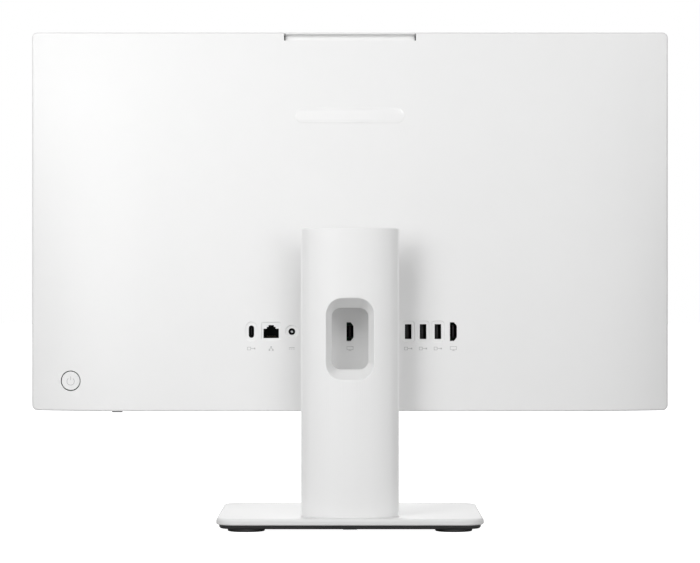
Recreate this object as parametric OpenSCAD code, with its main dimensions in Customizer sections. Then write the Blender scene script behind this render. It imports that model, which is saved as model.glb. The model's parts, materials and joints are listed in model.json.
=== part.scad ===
// All-in-one desktop computer: a display head that holds the computer, tilting on a column
// stand with a flat base.
// Frame: X to the right as a user sees the screen, Y to the rear, Z up, in millimetres.
// The origin is on the desk, at the middle of the base.

/* [Head] */
// Width of the display head
head_w = 540; // [536:1:556]
// Height of the display head
head_h = 320.8; // [319:0.1:328]
// Height of the head's bottom edge above the desk
head_z = 97.5; // [92:0.5:104]
// Thickness of the head at its thin top edge and corners
rim_t = 14; // [14:0.5:15]
// How much further the back stands out at the bottom of the head
bulge = 24; // [24:0.5:26]
// Wall thickness of the rear cover
cover_wall = 2.2; // [2:0.1:2.4]
// Corner radius of the head's outline
head_corner_r = 4.5; // [3:0.5:8]

/* [Screen] */
// Visible width of the front frame beside and above the screen
frame_lip = 2.1; // [1.8:0.1:2.4]
// Height of the chin under the screen
chin_h = 15.1; // [14:0.1:16]

/* [Rear ports] */
// Height of the row of ports above the head's bottom edge
port_h = 67.1; // [64:0.1:68]
// Depth of the shallow pocket round a port
pocket_d = 0.6; // [0.3:0.1:1]

/* [Buttons] */
// Distance of the power button from the middle of the head
power_x = 236; // [232:1:238]
// Height of the power button above the head's bottom edge
power_h = 25.4; // [22:0.1:28]
// Radius of the power button's hole
power_r = 8.5; // [8:0.1:9]

/* [Camera] */
// Width of the pop-up camera bar
camera_w = 110.1; // [108:0.1:114]
// How far the camera bar rises
camera_travel = 18; // [16:1:18]
// Height of the bar's head, which shows at the top of the back
camera_head_h = 6.6; // [6:0.1:7]

/* [Hinge] */
// Height of the tilt axis above the desk
hinge_z = 224.8; // [222:0.1:226]
// Distance of the tilt axis behind the middle of the base
hinge_y = 50.5; // [50:0.1:51]
// Radius of the hinge shaft
shaft_r = 4; // [3.5:0.1:4.2]

/* [Column] */
// Width of the column
column_w = 82; // [80:1:84]
// Height of the column's top above the desk
column_top = 251.2; // [248:0.1:254]
// Y of the column's flat front face
column_front = 62; // [62:0.1:62.5]
// How far the curved back of the column stands out
column_sagitta = 16; // [15:0.5:17]

/* [Base] */
// Width of the base
base_w = 222; // [210:1:240]
// Depth of the base
base_d = 190; // [188:1:200]
// Corner radius of the base
base_r = 18; // [14:1:22]
// Height of the rubber feet
foot_h = 2.5; // [2.4:0.1:3]
// Radius of the rubber feet
foot_r = 15.4; // [12:0.1:16]

/* [Hidden] */
$fn = 64;
FINE = 256;      // segments of the very large arcs
SMOOTH = 40;     // segments of faceted blends
GAP = 0.1;       // clearance between neighbouring pieces

// Depths through the head, from the screen to the rear
front_y = 2;
glass_y = [front_y + 0.4, front_y + 1.6];
lcd_y = [front_y + 1.7, front_y + 7.2];
seam_y = front_y + 7.5;
plate_y = [front_y + 7.6, front_y + 8.6];
inside_y = plate_y[1] + GAP;
rim_y = front_y + rim_t;
back_y = rim_y + bulge;

// The back of the head is an arc from the bottom edge to the top, and an arc at each side
side_run = 100;
flat_half = head_w / 2 - side_run;
arc_v = (head_h * head_h + bulge * bulge) / (2 * bulge);
arc_h = (side_run * side_run + bulge * bulge) / (2 * bulge);
function back_at_height(h) = back_y - arc_v + sqrt(arc_v * arc_v - h * h);
function back_at_side(x) = back_y - arc_h + sqrt(arc_h * arc_h - pow(x - flat_half, 2));

// Mainboard and what stands on it
board_y = [inside_y + 3.3, inside_y + 4.9];
board_x = [-96, 120];
board_h = [6.5, 100.5];
on_board = board_y[1] + GAP;
port_y = back_at_height(port_h + 9) - cover_wall - GAP;   // rear end of every connector

// Ports: X of each, and the size of its opening as [width, height]
usb_a_x = [-49, -61.5, -74];
video_x = [0, -87];
usb_c_x = 83;
ethernet_x = 66.4;
dc_x = 49;
usb_a_size = [5.5, 12.5];
video_size = [5.8, 15.7];
video_cut = [2.3, 3];
usb_c_size = [4.5, 10.4];
ethernet_size = [12.9, 7.9];
ethernet_steps = [[7.5, 1.6], [4.6, 1.4]];
dc_bore_r = 2.85;
dc_pin_r = 1.25;
shell_wall = 0.3;

// Power button, which faces along the local normal of the back
power_angle = asin((power_x - flat_half) / arc_h);
power_y = back_at_side(power_x);
power_gap = 0.75;
// Source button under the bottom edge
source_at = [197.2, 22];
source_size = [9, 4];
source_out = 1.5;

// Blower
fan_at = [-140, 76.5];
fan_x = [-178, -102];
fan_h = [36.5, 114.5];
fan_y = [inside_y, inside_y + 12];
fan_hub_r = 11;
fan_r = 30;
fan_axle_r = 1.5;
fin_x = [-176, -104];
fin_h = [6.5, 32.5];

// Camera bar
camera_y = front_y + 7.8;
camera_plate_t = 3.8;
camera_bottom = head_h - 31.5;
camera_glass_h = [head_h - 16.5, head_h - 1.2];
camera_lens_h = head_h - 9;
camera_side_gap = 0.75;

// Hinge: head arms, washers and stand ears follow one another outwards from the middle
arm_x = [16, 20];
ear_x = [22, 26];
washer_t = 1.8;
eye_r = 8;
shaft_end = 31;
bracket_h = [hinge_z - head_z - 18, hinge_z - head_z + 18];
bracket_t = 2;
barrel_r = 12.5;
barrel_wall = 1.7;
barrel_x = 35;

// Column
column_wall = 2;
ledge = 1;
tray_d = 6;
shell_half = column_w / 2 - ledge;
column_rear = column_front + tray_d + 2 + column_sagitta;
column_arc = (shell_half * shell_half + column_sagitta * column_sagitta) / (2 * column_sagitta);
column_arc_y = column_rear - column_arc;
spine_y = [column_front + 4.5, column_front + 7.5];
window_z = 159.2;
window_outer = [39.3, 67.1];
window_inner = [30.7, 51.2];
window_outer_r = 13.5;
window_inner_r = 7.5;

// Base layers, from the desk up
under_z = [foot_h, foot_h + 3.3];
cover_z = [under_z[1], under_z[1] + 5.4];
cover_roof = 1.8;
steel_z = [cover_z[0] + GAP, cover_z[1] - cover_roof - GAP];
under_inset = 2.5;
column_floor = steel_z[1] + GAP;
foot_at = [86, 75];
lock_y = 73;
lock_well_r = 14.5;
base_screw_at = [[-95, -20], [95, -20], [-50, -82], [50, -82], [-60, 82], [60, 82]];

// ---------------------------------------------------------------- helpers

// A box from ranges along X, Y and Z
module block(x, y, z) {
    translate([x[0], y[0], z[0]]) cube([x[1] - x[0], y[1] - y[0], z[1] - z[0]]);
}

// Children drawn as (X, Z), filled from y0 to y1
module along_y(y0, y1) {
    translate([0, y1, 0]) rotate([90, 0, 0]) linear_extrude(y1 - y0) children();
}

// Children drawn as (Y, Z), filled from x0 to x1
module along_x(x0, x1) {
    translate([x0, 0, 0]) rotate([90, 0, 90]) linear_extrude(x1 - x0) children();
}

// A cylinder along Y at (x, z) from y0 to y1
module rod_y(x, z, r, y0, y1) {
    translate([x, y1, z]) rotate([90, 0, 0]) cylinder(r = r, h = y1 - y0);
}

// A cylinder along X through (y, z) from x0 to x1
module rod_x(y, z, r, x0, x1) {
    translate([x0, y, z]) rotate([0, 90, 0]) cylinder(r = r, h = x1 - x0);
}

// A rectangle with true round corners, centred
module round_rect(size, r) {
    square([size[0] - 2 * r, size[1]], center = true);
    square([size[0], size[1] - 2 * r], center = true);
    for (sx = [-1, 1], sy = [-1, 1])
        translate([sx * (size[0] / 2 - r), sy * (size[1] / 2 - r)]) circle(r = r);
}

// Children at X and -X
module both_sides() {
    children();
    mirror([1, 0, 0]) children();
}

// Children drawn with Z measured from the head's bottom edge
module in_head() {
    translate([0, 0, head_z]) children();
}

// ---------------------------------------------------------------- head shells

module head_outline(inset) {
    translate([0, head_h / 2])
        round_rect([head_w - 2 * inset, head_h - 2 * inset], head_corner_r - inset);
}

// Everything in front of the vertical arc of the back, as (Y, Z)
module side_profile(inset) {
    intersection() {
        translate([back_y - arc_v, 0]) circle(r = arc_v - inset, $fn = FINE);
        translate([0, -20]) square([back_y + 20, head_h + 40]);
    }
}

// Everything in front of the horizontal arcs of the back, as (X, Y)
module top_profile(inset) {
    intersection() {
        union() {
            translate([-flat_half, -5]) square([2 * flat_half, back_y - inset + 5]);
            for (s = [-1, 1])
                translate([s * flat_half, back_y - arc_h]) circle(r = arc_h - inset, $fn = FINE);
        }
        translate([-head_w / 2 - 5, 0]) square([head_w + 10, back_y + 10]);
    }
}

// The solid behind y0 whose back is the head's back, moved in by inset
module back_solid(inset, y0) {
    intersection() {
        along_y(y0, back_y + 5) head_outline(inset);
        along_x(-head_w, head_w) side_profile(inset);
        translate([0, 0, -5]) linear_extrude(head_h + 10) top_profile(inset);
    }
}

module video_shape(grow) {
    w = video_size[0] / 2 + grow;
    h = video_size[1] / 2 + grow;
    polygon([
        [w, -h], [w, h], [-w + video_cut[0], h], [-w, h - video_cut[1]],
        [-w, -h + video_cut[1]], [-w + video_cut[0], -h]
    ]);
}

module stadium(size) {
    round_rect([size[0], size[1]], size[0] / 2 - 0.01);
}

module ethernet_shape(grow) {
    total = ethernet_size[1] + ethernet_steps[0][1] + ethernet_steps[1][1];
    step_1 = -total / 2 + ethernet_size[1];
    translate([-ethernet_size[0] / 2 - grow, -total / 2 - grow])
        square([ethernet_size[0] + 2 * grow, ethernet_size[1] + 2 * grow]);
    translate([-ethernet_steps[0][0] / 2 - grow, step_1])
        square([ethernet_steps[0][0] + 2 * grow, ethernet_steps[0][1] + grow]);
    translate([-ethernet_steps[1][0] / 2 - grow, step_1])
        square([ethernet_steps[1][0] + 2 * grow, total / 2 - step_1 + grow]);
}

// The openings of all rear ports, as (X, Z)
module port_openings() {
    translate([0, port_h]) {
        for (x = usb_a_x) translate([x, 0]) square(usb_a_size, center = true);
        for (x = video_x) translate([x, 0]) video_shape(0);
        translate([usb_c_x, 0]) stadium(usb_c_size);
        translate([ethernet_x, 0]) ethernet_shape(0);
        translate([dc_x, 0]) circle(r = dc_bore_r);
    }
}

// The shallow pockets round the ports, as (X, Z)
module port_pockets() {
    translate([0, port_h]) {
        for (x = usb_a_x) translate([x, 0]) round_rect([10.5, 17.8], 2.5);
        translate([usb_c_x, 0]) stadium([9.3, 16.3]);
        translate([ethernet_x, 0.5]) round_rect([16.4, 14.7], 2);
        translate([dc_x, 0]) circle(r = 5.3);
    }
}

// Row of vent slots through the underside, from x0 to x1
module vent_slots(x0, x1) {
    slot_w = 2.4;
    slot_y = [15, 23];
    for (x = [x0 : 6 : x1])
        block([x, x + slot_w], slot_y, [-1, cover_wall + 1]);
}

// Places children on the back at the power button, with +Y out of the surface
module at_power_button() {
    translate([power_x, power_y, power_h]) rotate([0, 0, -power_angle]) children();
}

module rear_cover() {
    color("white") in_head() difference() {
        back_solid(0, seam_y);
        back_solid(cover_wall, seam_y - 1);
        along_y(port_y, back_y + 1) port_openings();
        along_y(back_at_height(port_h) - pocket_d, back_y + 1) port_pockets();
        // notch for the camera bar
        block([-camera_w / 2 - camera_side_gap, camera_w / 2 + camera_side_gap],
              [seam_y - 1, back_y], [head_h - camera_head_h - 0.3, head_h + 1]);
        at_power_button() rod_y(0, 0, power_r, -8, 5);
        // slots for the hinge arms
        both_sides()
            block([arm_x[0] - 0.5, arm_x[1] + 0.5], [20, back_y + 1],
                  [hinge_z - head_z - 8, hinge_z - head_z + 8]);
        // hole for the source button
        translate([source_at[0], source_at[1], -1]) linear_extrude(cover_wall + 2)
            rotate(90) stadium([source_size[1] + 0.6, source_size[0] + 0.6]);
        vent_slots(-84, 84);
        vent_slots(-174, -108);
        vent_slots(-240, -192);
        vent_slots(130, 182);
    }
}

module front_frame() {
    rib = 2;
    screen_top = head_h - frame_lip;
    color("white") in_head() difference() {
        along_y(front_y, seam_y) head_outline(0);
        block([-head_w / 2 + frame_lip, head_w / 2 - frame_lip], [front_y - 1, seam_y + 1],
              [chin_h, screen_top]);
        block([-head_w / 2 + frame_lip, head_w / 2 - frame_lip], [front_y + 2, seam_y + 1],
              [frame_lip, chin_h - rib]);
    }
}

module screen_glass() {
    edge = frame_lip + GAP;
    color("black") in_head()
        block([-head_w / 2 + edge, head_w / 2 - edge], glass_y, [chin_h + GAP, head_h - edge]);
}

module lcd_module() {
    edge = frame_lip + 1.3;
    color("dimgray") in_head()
        block([-head_w / 2 + edge, head_w / 2 - edge], lcd_y, [chin_h + 0.6, head_h - edge - 0.8]);
}

// Blank inlaid badge on the back
module badge() {
    badge_h = 249.8;
    badge_size = [92, 13];
    badge_t = 0.4;
    color("whitesmoke") in_head() intersection() {
        along_y(rim_y, back_y + 1) translate([0, badge_h])
            round_rect(badge_size, badge_size[1] / 2 - 0.01);
        along_x(-badge_size[0], badge_size[0]) difference() {
            side_profile(-0.02 - badge_t);
            side_profile(-0.02);
        }
    }
}

// ---------------------------------------------------------------- inside the head

// Screws, as (X, height above the head's bottom edge)
board_screw_at = [[-91, 10.5], [12, 10.5], [114, 10.5], [-91, 50.5], [114, 52.5], [12, 94.5]];
hinge_screw_at = [[28, bracket_h[0] + 6], [28, bracket_h[1] - 6]];
spine_screw_in = 10;
m4_shank_r = 1.9;
m4_hole_r = 2.1;
m4_head = [3.5, 2];

module chassis_plate() {
    standoff_r = 2.8;
    screw_bore_r = 1.25;
    color("silver") in_head() difference() {
        union() {
            block([-262, 262], plate_y, [5, head_h - 12.5]);
            for (p = board_screw_at) rod_y(p[0], p[1], standoff_r, plate_y[0], board_y[0] - GAP);
        }
        // room for the camera bar
        block([-64, 64], [plate_y[0] - 1, plate_y[1] + 1], [camera_bottom - 10, head_h]);
        // slot for the display cable
        block([43, 61], [plate_y[0] - 1, plate_y[1] + 1], [161, 166]);
        for (p = board_screw_at) rod_y(p[0], p[1], screw_bore_r, plate_y[0] - 1, board_y[0] + 1);
        both_sides() for (p = hinge_screw_at)
            rod_y(p[0], p[1], m4_hole_r, plate_y[0] - 1, plate_y[1] + 1);
        // lightening windows
        for (x = [-180, 180], z = [240])
            along_y(plate_y[0] - 1, plate_y[1] + 1)
                translate([x, z]) round_rect([110, 70], 10);
    }
}

module mainboard() {
    color("darkgreen") in_head() difference() {
        block(board_x, board_y, board_h);
        for (p = board_screw_at) rod_y(p[0], p[1], 1.6, board_y[0] - 1, board_y[1] + 1);
    }
}

// Chips, coils and sockets soldered to the mainboard
module board_components() {
    chipset = [-10, 14, 30, 54];
    coil = 6;
    color("dimgray") in_head() {
        block([chipset[0], chipset[1]], [on_board, on_board + 1.6], [chipset[2], chipset[3]]);
        for (i = [0 : 4])
            block([-80 + 11 * i, -80 + 11 * i + coil], [on_board, on_board + 4], [47, 47 + coil]);
        for (i = [0 : 3])
            block([-50 + 14 * i, -42 + 14 * i], [on_board, on_board + 1.2], [84, 92]);
        block([104, 116], [on_board, on_board + 3], [24, 34]);
        block([104, 116], [on_board, on_board + 3], [60, 74]);
    }
}

cpu_x = [-72, -22];
cpu_h = [14.5, 39.5];
cpu_t = 1.5;
cold_y = [on_board + cpu_t + GAP, on_board + cpu_t + 5.6];
pipe_h = 23;
pipe_size = [3, 9];

module cpu() {
    color("darkslategray") in_head() block(cpu_x, [on_board, on_board + cpu_t], cpu_h);
}

module cold_plate() {
    rim = 3;
    color("peru") in_head()
        block([cpu_x[0] - rim, cpu_x[1] + rim], cold_y, [cpu_h[0] - rim, cpu_h[1] + rim]);
}

// Flattened copper pipe that carries heat from the cold plate to the fins
module heat_pipe() {
    y0 = max(cold_y[1], fan_y[1]) + GAP;
    color("peru") in_head()
        along_x(fin_x[0], cpu_x[1]) translate([y0 + pipe_size[0] / 2, pipe_h])
            round_rect(pipe_size, pipe_size[0] / 2 - 0.01);
}

module heatsink_fins() {
    pitch = 3;
    fin_t = 0.6;
    color("silver") in_head() {
        for (x = [fin_x[0] : pitch : fin_x[1] - fin_t]) block([x, x + fin_t], fan_y, fin_h);
        for (y = [fan_y[0], fan_y[1] - fin_t])
            block([fin_x[0], fin_x[1]], [y, y + fin_t], fin_h);
    }
}

// Blower housing with its axle, open at the bottom towards the fins
module fan_housing() {
    wall = 1;
    scroll_r = 33;
    inlet_r = 22;
    cavity = [fan_y[0] + wall, fan_y[1] - wall];
    color("black") in_head() {
        difference() {
            block(fan_x, fan_y, fan_h);
            rod_y(fan_at[0], fan_at[1], scroll_r, cavity[0], cavity[1]);
            block([fan_at[0] - scroll_r, fan_at[0] + scroll_r], cavity, [fan_h[0] - 1, fan_at[1]]);
            rod_y(fan_at[0], fan_at[1], inlet_r, cavity[0], fan_y[1] + 1);
        }
        rod_y(fan_at[0], fan_at[1], fan_axle_r, cavity[0] - 0.5, cavity[1] - 2);
    }
}

module fan_rotor() {
    blades = 15;
    blade_t = 1;
    y0 = fan_y[0] + 1.6;
    y1 = fan_y[1] - 1.6;
    color("dimgray") in_head() difference() {
        union() {
            rod_y(fan_at[0], fan_at[1], fan_hub_r, y0, y1);
            rod_y(fan_at[0], fan_at[1], fan_r, y0, y0 + 0.8);
            for (i = [0 : blades - 1])
                translate([fan_at[0], 0, fan_at[1]]) rotate([0, i * 360 / blades, 0])
                    block([fan_hub_r - 1, fan_r - 0.5], [y0 + 0.4, y1 - 0.4],
                          [-blade_t / 2, blade_t / 2]);
        }
        rod_y(fan_at[0], fan_at[1], fan_axle_r + 0.06, y0 - 1, y1 - 1);
    }
}

memory_x = [30, 98];
memory_levels = [4, 8];

module memory_sockets() {
    color("black") in_head() difference() {
        block([memory_x[0] - 2, memory_x[1] + 2], [on_board, on_board + 10.5], [7, 14]);
        for (y = memory_levels)
            block([memory_x[0] - 0.2, memory_x[1] + 0.2], [on_board + y - 0.1, on_board + y + 1.3],
                  [10.9, 15]);
    }
}

module memory_modules() {
    color("darkgreen") in_head() for (y = memory_levels) translate([0, on_board + y, 0]) {
        block(memory_x, [0, 1.2], [11, 41]);
        for (i = [0 : 3])
            block([memory_x[0] + 5 + 15.5 * i, memory_x[0] + 16 + 15.5 * i], [-0.9, 2.1], [20, 34]);
    }
}

module ssd() {
    color("darkgreen") in_head() {
        block([30, 110], [on_board + 2, on_board + 2.8], [77.5, 99.5]);
        for (x = [36, 58, 80]) block([x, x + 16], [on_board + 2.5, on_board + 4], [81, 96]);
        block([108, 114], [on_board, on_board + 4], [77, 100]);
        block([30.5, 34.5], [on_board, on_board + 2.5], [86.5, 90.5]);
    }
}

module wifi_card() {
    color("silver") in_head() {
        block([-92, -62], [on_board + 2, on_board + 2.8], [77.5, 99.5]);
        block([-88, -68], [on_board + 2.5, on_board + 4.2], [79.5, 97.5]);
        block([-64, -58], [on_board, on_board + 4], [77, 100]);
    }
}

antenna_x = [215, 253];
antenna_h = 236;
cable_r = 0.6;
cable_y = inside_y + 1.4;

module antennas() {
    color("goldenrod") in_head() both_sides()
        block(antenna_x, [inside_y, inside_y + 0.8], [antenna_h, antenna_h + 12]);
}

// A thin cable through a list of (X, Z) points
module flat_run(points, r, y) {
    for (i = [0 : len(points) - 2]) {
        a = points[i];
        b = points[i + 1];
        length = norm(b - a);
        translate([a[0], y, a[1]]) rotate([0, atan2(b[0] - a[0], b[1] - a[1]), 0])
            cylinder(r = r, h = length);
    }
    for (p = points) translate([p[0], y, p[1]]) sphere(r = r);
}

module antenna_cables() {
    end_h = antenna_h + 6;
    color("black") in_head() {
        flat_run([[-80, 102], [-80, end_h], [-antenna_x[0] + 1, end_h]], cable_r, cable_y);
        flat_run([[-74, 102], [-74, end_h - 20], [100, end_h - 20], [100, end_h],
                  [antenna_x[0] - 1, end_h]], cable_r, cable_y);
    }
}

module speaker(x) {
    cone_r = 10;
    color("black") in_head() difference() {
        block(x, [inside_y, inside_y + 12.5], [cover_wall + 0.3, 30]);
        translate([(x[0] + x[1]) / 2, inside_y + 6.25, cover_wall - 1])
            linear_extrude(4) scale([2.2, 0.5]) circle(r = cone_r, $fn = SMOOTH);
    }
}

module speaker_left() speaker([-246, -188]);
module speaker_right() speaker([128, 186]);

// ---------------------------------------------------------------- ports

module usb_a_shells() {
    color("dimgray") in_head() for (x = usb_a_x) difference() {
        along_y(on_board, port_y) translate([x, port_h])
            square([usb_a_size[0] + 2 * shell_wall, usb_a_size[1] + 2 * shell_wall], center = true);
        along_y(on_board + 3, port_y + 1) translate([x, port_h]) square(usb_a_size, center = true);
    }
}

module video_shells() {
    color("dimgray") in_head() for (x = video_x) difference() {
        along_y(on_board, port_y) translate([x, port_h]) video_shape(shell_wall);
        along_y(on_board + 3, port_y + 1) translate([x, port_h]) video_shape(0);
    }
}

// Plastic tongues that carry the contacts of the USB-A and video ports
module port_tongues() {
    y = [on_board + 3, port_y - 0.8];
    color("black") in_head() {
        for (x = usb_a_x) block([x + 0.1, x + 2], y, [port_h - 5.5, port_h + 5.5]);
        for (x = video_x) block([x - 0.5, x + 0.8], y, [port_h - 5.2, port_h + 5.2]);
    }
}

module usb_c_port() {
    body = usb_c_size + [0.6, 0.6];
    socket = [2.8, 8.6];
    color("black") in_head() translate([0, 0, port_h]) {
        difference() {
            along_y(on_board, port_y) translate([usb_c_x, 0]) stadium(body);
            along_y(on_board + 8, port_y + 1) translate([usb_c_x, 0]) stadium(socket);
        }
        block([usb_c_x - 0.35, usb_c_x + 0.35], [on_board + 7, port_y - 1], [-3.3, 3.3]);
    }
}

ethernet_depth = 13;

module ethernet_jack() {
    color("black") in_head() translate([0, 0, port_h]) difference() {
        along_y(on_board, port_y) translate([ethernet_x, 0]) square([16, 14.4], center = true);
        along_y(port_y - ethernet_depth, port_y + 1) translate([ethernet_x, 0]) ethernet_shape(0);
    }
}

module ethernet_contacts() {
    count = 8;
    pitch = 1.02;
    floor_h = port_h - 4.2;
    color("gold") in_head() for (i = [0 : count - 1]) {
        x = ethernet_x + (i - (count - 1) / 2) * pitch;
        block([x - 0.2, x + 0.2], [port_y - ethernet_depth, port_y - 2], [floor_h, floor_h + 0.4]);
    }
}

dc_depth = 10;
dc_pin_length = 9;

module dc_jack() {
    color("black") in_head() difference() {
        block([dc_x - 4.5, dc_x + 4.5], [on_board, port_y], [port_h - 5.5, port_h + 5.5]);
        rod_y(dc_x, port_h, dc_bore_r, port_y - dc_depth, port_y + 1);
    }
}

module dc_pin() {
    color("silver") in_head()
        rod_y(dc_x, port_h, dc_pin_r, port_y - dc_depth, port_y - dc_depth + dc_pin_length);
}

// ---------------------------------------------------------------- buttons

// Cap with a flange behind the cover that keeps it in
module power_button() {
    flange = [-3.8, -2.8];
    color("white") in_head() at_power_button() {
        rod_y(0, 0, power_r - power_gap, flange[0], -0.1);
        rod_y(0, 0, power_r + 0.7, flange[0], flange[1]);
        rod_y(0, 0, 2, -5.2, flange[0] + 0.5);
    }
}

module source_button() {
    cap = [source_size[1], source_size[0]];
    color("gray") in_head() translate([source_at[0], source_at[1], 0]) {
        translate([0, 0, -source_out]) linear_extrude(source_out + cover_wall + 1.2)
            rotate(90) stadium(cap);
        translate([0, 0, cover_wall + 0.2]) linear_extrude(1)
            rotate(90) stadium(cap + [1.8, 1.8]);
    }
}

// Tact switches behind the two buttons, each on its small board and bracket
module button_switches() {
    color("darkgreen") in_head() {
        at_power_button() {
            block([-3, 3], [-8.1, -6.1], [-3, 3]);
            block([-9, 9], [-9.6, -8], [-9, 9]);
        }
        block([power_x - 8, power_x - 1], [inside_y, power_y - 9.5], [power_h - 8, power_h + 8]);
        translate([source_at[0], 0, 0]) {
            block([-3, 3], [source_at[1] - 3, source_at[1] + 3], [4.1, 6.1]);
            block([-8, 8], [inside_y, source_at[1] + 4], [6, 7.6]);
        }
    }
}

// ---------------------------------------------------------------- pop-up camera

// Sliding bar: a plate that holds the camera, with a finger catch along its head
module camera_bar() {
    half = camera_w / 2;
    plate_top = head_h - camera_head_h;
    lip = 0.8;
    tongue_h = [camera_bottom, camera_bottom + 10.5];
    color("white") in_head() difference() {
        union() {
            block([-half, half], [camera_y, camera_y + camera_plate_t], [camera_bottom, head_h - 1]);
            intersection() {
                block([-half, half], [camera_y, back_y], [plate_top, head_h]);
                along_x(-head_w, head_w) side_profile(GAP);
            }
            block([-half - 1.6, half + 1.6], [camera_y + 1.2, camera_y + 2.6], tongue_h);
        }
        // finger catch
        along_x(-half - 1, half + 1) polygon([
            [rim_y + 2, plate_top + 0.2], [rim_y + 0.6, plate_top + 0.2],
            [rim_y - 2, head_h - lip - 1.2], [rim_y - 1.8, head_h - lip], [rim_y + 2, head_h - lip]
        ]);
        // pocket for the window, then for the camera board
        block([-50.2, 50.2], [camera_y - 1, camera_y + 0.9],
              [camera_glass_h[0] - 0.1, camera_glass_h[1] + 0.1]);
        block([-46, 46], [camera_y, camera_y + 2.8], [head_h - 15.5, head_h - 7.2]);
        rod_y(0, camera_lens_h, 3.1, camera_y, camera_y + 1.65);
    }
}

module camera_window() {
    color("black") in_head() difference() {
        block([-50, 50], [camera_y, camera_y + 0.8], camera_glass_h);
        rod_y(0, camera_lens_h, 3.1, camera_y - 1, camera_y + 2);
    }
}

module camera_lens() {
    color("darkblue") in_head() rod_y(0, camera_lens_h, 3, camera_y + 0.1, camera_y + 1.6);
}

module camera_board() {
    color("darkgreen") in_head()
        block([-45, 45], [camera_y + 1.7, camera_y + 2.5], [head_h - 15, head_h - 7.5]);
}

// Two rails in which the bar's tongues run
module camera_guides() {
    half = camera_w / 2;
    color("black") in_head() both_sides() difference() {
        block([half + 0.2, half + 4.2], [inside_y - 0.8, camera_y + camera_plate_t],
              [camera_bottom - 4, head_h - cover_wall - 0.4]);
        block([half, half + 1.8], [camera_y + 1.1, camera_y + 2.7],
              [camera_bottom - 5, head_h]);
    }
}

// Leaf spring that holds the bar down
module camera_detent() {
    color("silver") in_head() {
        block([-12, 12], [inside_y - 0.6, inside_y], [camera_bottom - 9, camera_bottom - 1]);
        block([-3, 3], [inside_y - 0.1, inside_y + 1.4], [camera_bottom - 2, camera_bottom - 0.6]);
    }
}

module camera_cable() {
    y = [inside_y + 0.1, inside_y + 0.3];
    color("sandybrown") in_head() {
        block([20, 28], y, [152, camera_bottom - 0.5]);
        block([20, 70], y, [152, 160]);
        block([62, 70], y, [99, 160]);
    }
}

module display_cable() {
    y = [inside_y + 0.4, inside_y + 0.8];
    color("gray") in_head() {
        block([44, 60], y, [102, 164.5]);
        block([44, 60], [plate_y[0] - 0.3, y[1]], [164.1, 164.5]);
    }
}

// ---------------------------------------------------------------- hinge

// An arm as (Y, Z), from y0 to the eye on the tilt axis
module arm_profile(y0, half_h) {
    difference() {
        union() {
            translate([min(y0, hinge_y), hinge_z - half_h])
                square([abs(hinge_y - y0), 2 * half_h]);
            translate([hinge_y, hinge_z]) circle(r = eye_r);
        }
        translate([hinge_y, hinge_z]) circle(r = shaft_r + 0.05);
    }
}

module hinge_bracket_head() {
    y1 = inside_y + bracket_t;
    color("silver") difference() {
        union() {
            in_head() block([-34, 34], [inside_y, y1], bracket_h);
            both_sides() along_x(arm_x[0], arm_x[1]) arm_profile(y1 - 0.5, 7);
        }
        both_sides() in_head() for (p = hinge_screw_at)
            rod_y(p[0], p[1], m4_hole_r, inside_y - 1, y1 + 1);
    }
}

module hinge_bracket_stand() {
    y = [column_front + 2.2, spine_y[0] - GAP];
    color("silver") difference() {
        union() {
            block([-29, 29], y, [hinge_z - 18, hinge_z + 18]);
            both_sides() along_x(ear_x[0], ear_x[1]) arm_profile(y[0] + 0.5, 7.5);
        }
        both_sides() for (p = hinge_screw_at)
            rod_y(p[0] - spine_screw_in, p[1] + head_z, m4_hole_r, y[0] - 1, y[1] + 1);
    }
}

module hinge_shaft() {
    head_t = 2.4;
    color("gray") {
        rod_x(hinge_y, hinge_z, shaft_r, -shaft_end, shaft_end);
        rod_x(hinge_y, hinge_z, 6.2, shaft_end - head_t, shaft_end);
    }
}

// Friction discs between arms and ears, spring discs outside the ears, and the middle spacer
module hinge_washers() {
    bore = shaft_r + 0.05;
    color("darkgray") difference() {
        union() {
            both_sides() {
                rod_x(hinge_y, hinge_z, 7.4, arm_x[1] + GAP, ear_x[0] - GAP);
                rod_x(hinge_y, hinge_z, 7, ear_x[1] + GAP, ear_x[1] + GAP + washer_t);
            }
            rod_x(hinge_y, hinge_z, 6, -arm_x[0] + GAP, arm_x[0] - GAP);
        }
        rod_x(hinge_y, hinge_z, bore, -shaft_end - 1, shaft_end + 1);
    }
}

module hinge_nut() {
    color("gray") difference() {
        translate([-shaft_end, hinge_y, hinge_z]) rotate([0, 90, 0]) cylinder(r = 6.8, h = 2.6, $fn = 6);
        rod_x(hinge_y, hinge_z, shaft_r + 0.05, -shaft_end - 1, 0);
    }
}

// Barrel that hides the hinge between the head and the column
module barrel_profile() {
    intersection() {
        union() {
            translate([hinge_y, hinge_z]) circle(r = barrel_r);
            translate([hinge_y, hinge_z - barrel_r]) square([barrel_r, 2 * barrel_r]);
        }
        translate([hinge_y - barrel_r, hinge_z - barrel_r])
            square([column_front - GAP - hinge_y + barrel_r, 2 * barrel_r]);
    }
}

module hinge_cover() {
    color("white") difference() {
        along_x(-barrel_x, barrel_x) barrel_profile();
        along_x(-barrel_x + barrel_wall, barrel_x - barrel_wall) {
            translate([hinge_y, hinge_z]) circle(r = barrel_r - barrel_wall);
            translate([hinge_y, hinge_z - barrel_r + barrel_wall])
                square([20, 2 * (barrel_r - barrel_wall)]);
        }
        // room for the arms as the head tilts
        both_sides() block([arm_x[0] - 1, arm_x[1] + 1], [hinge_y - 20, hinge_y],
                           [hinge_z - 8.8, hinge_z + 11.4]);
    }
}

// ---------------------------------------------------------------- column

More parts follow.
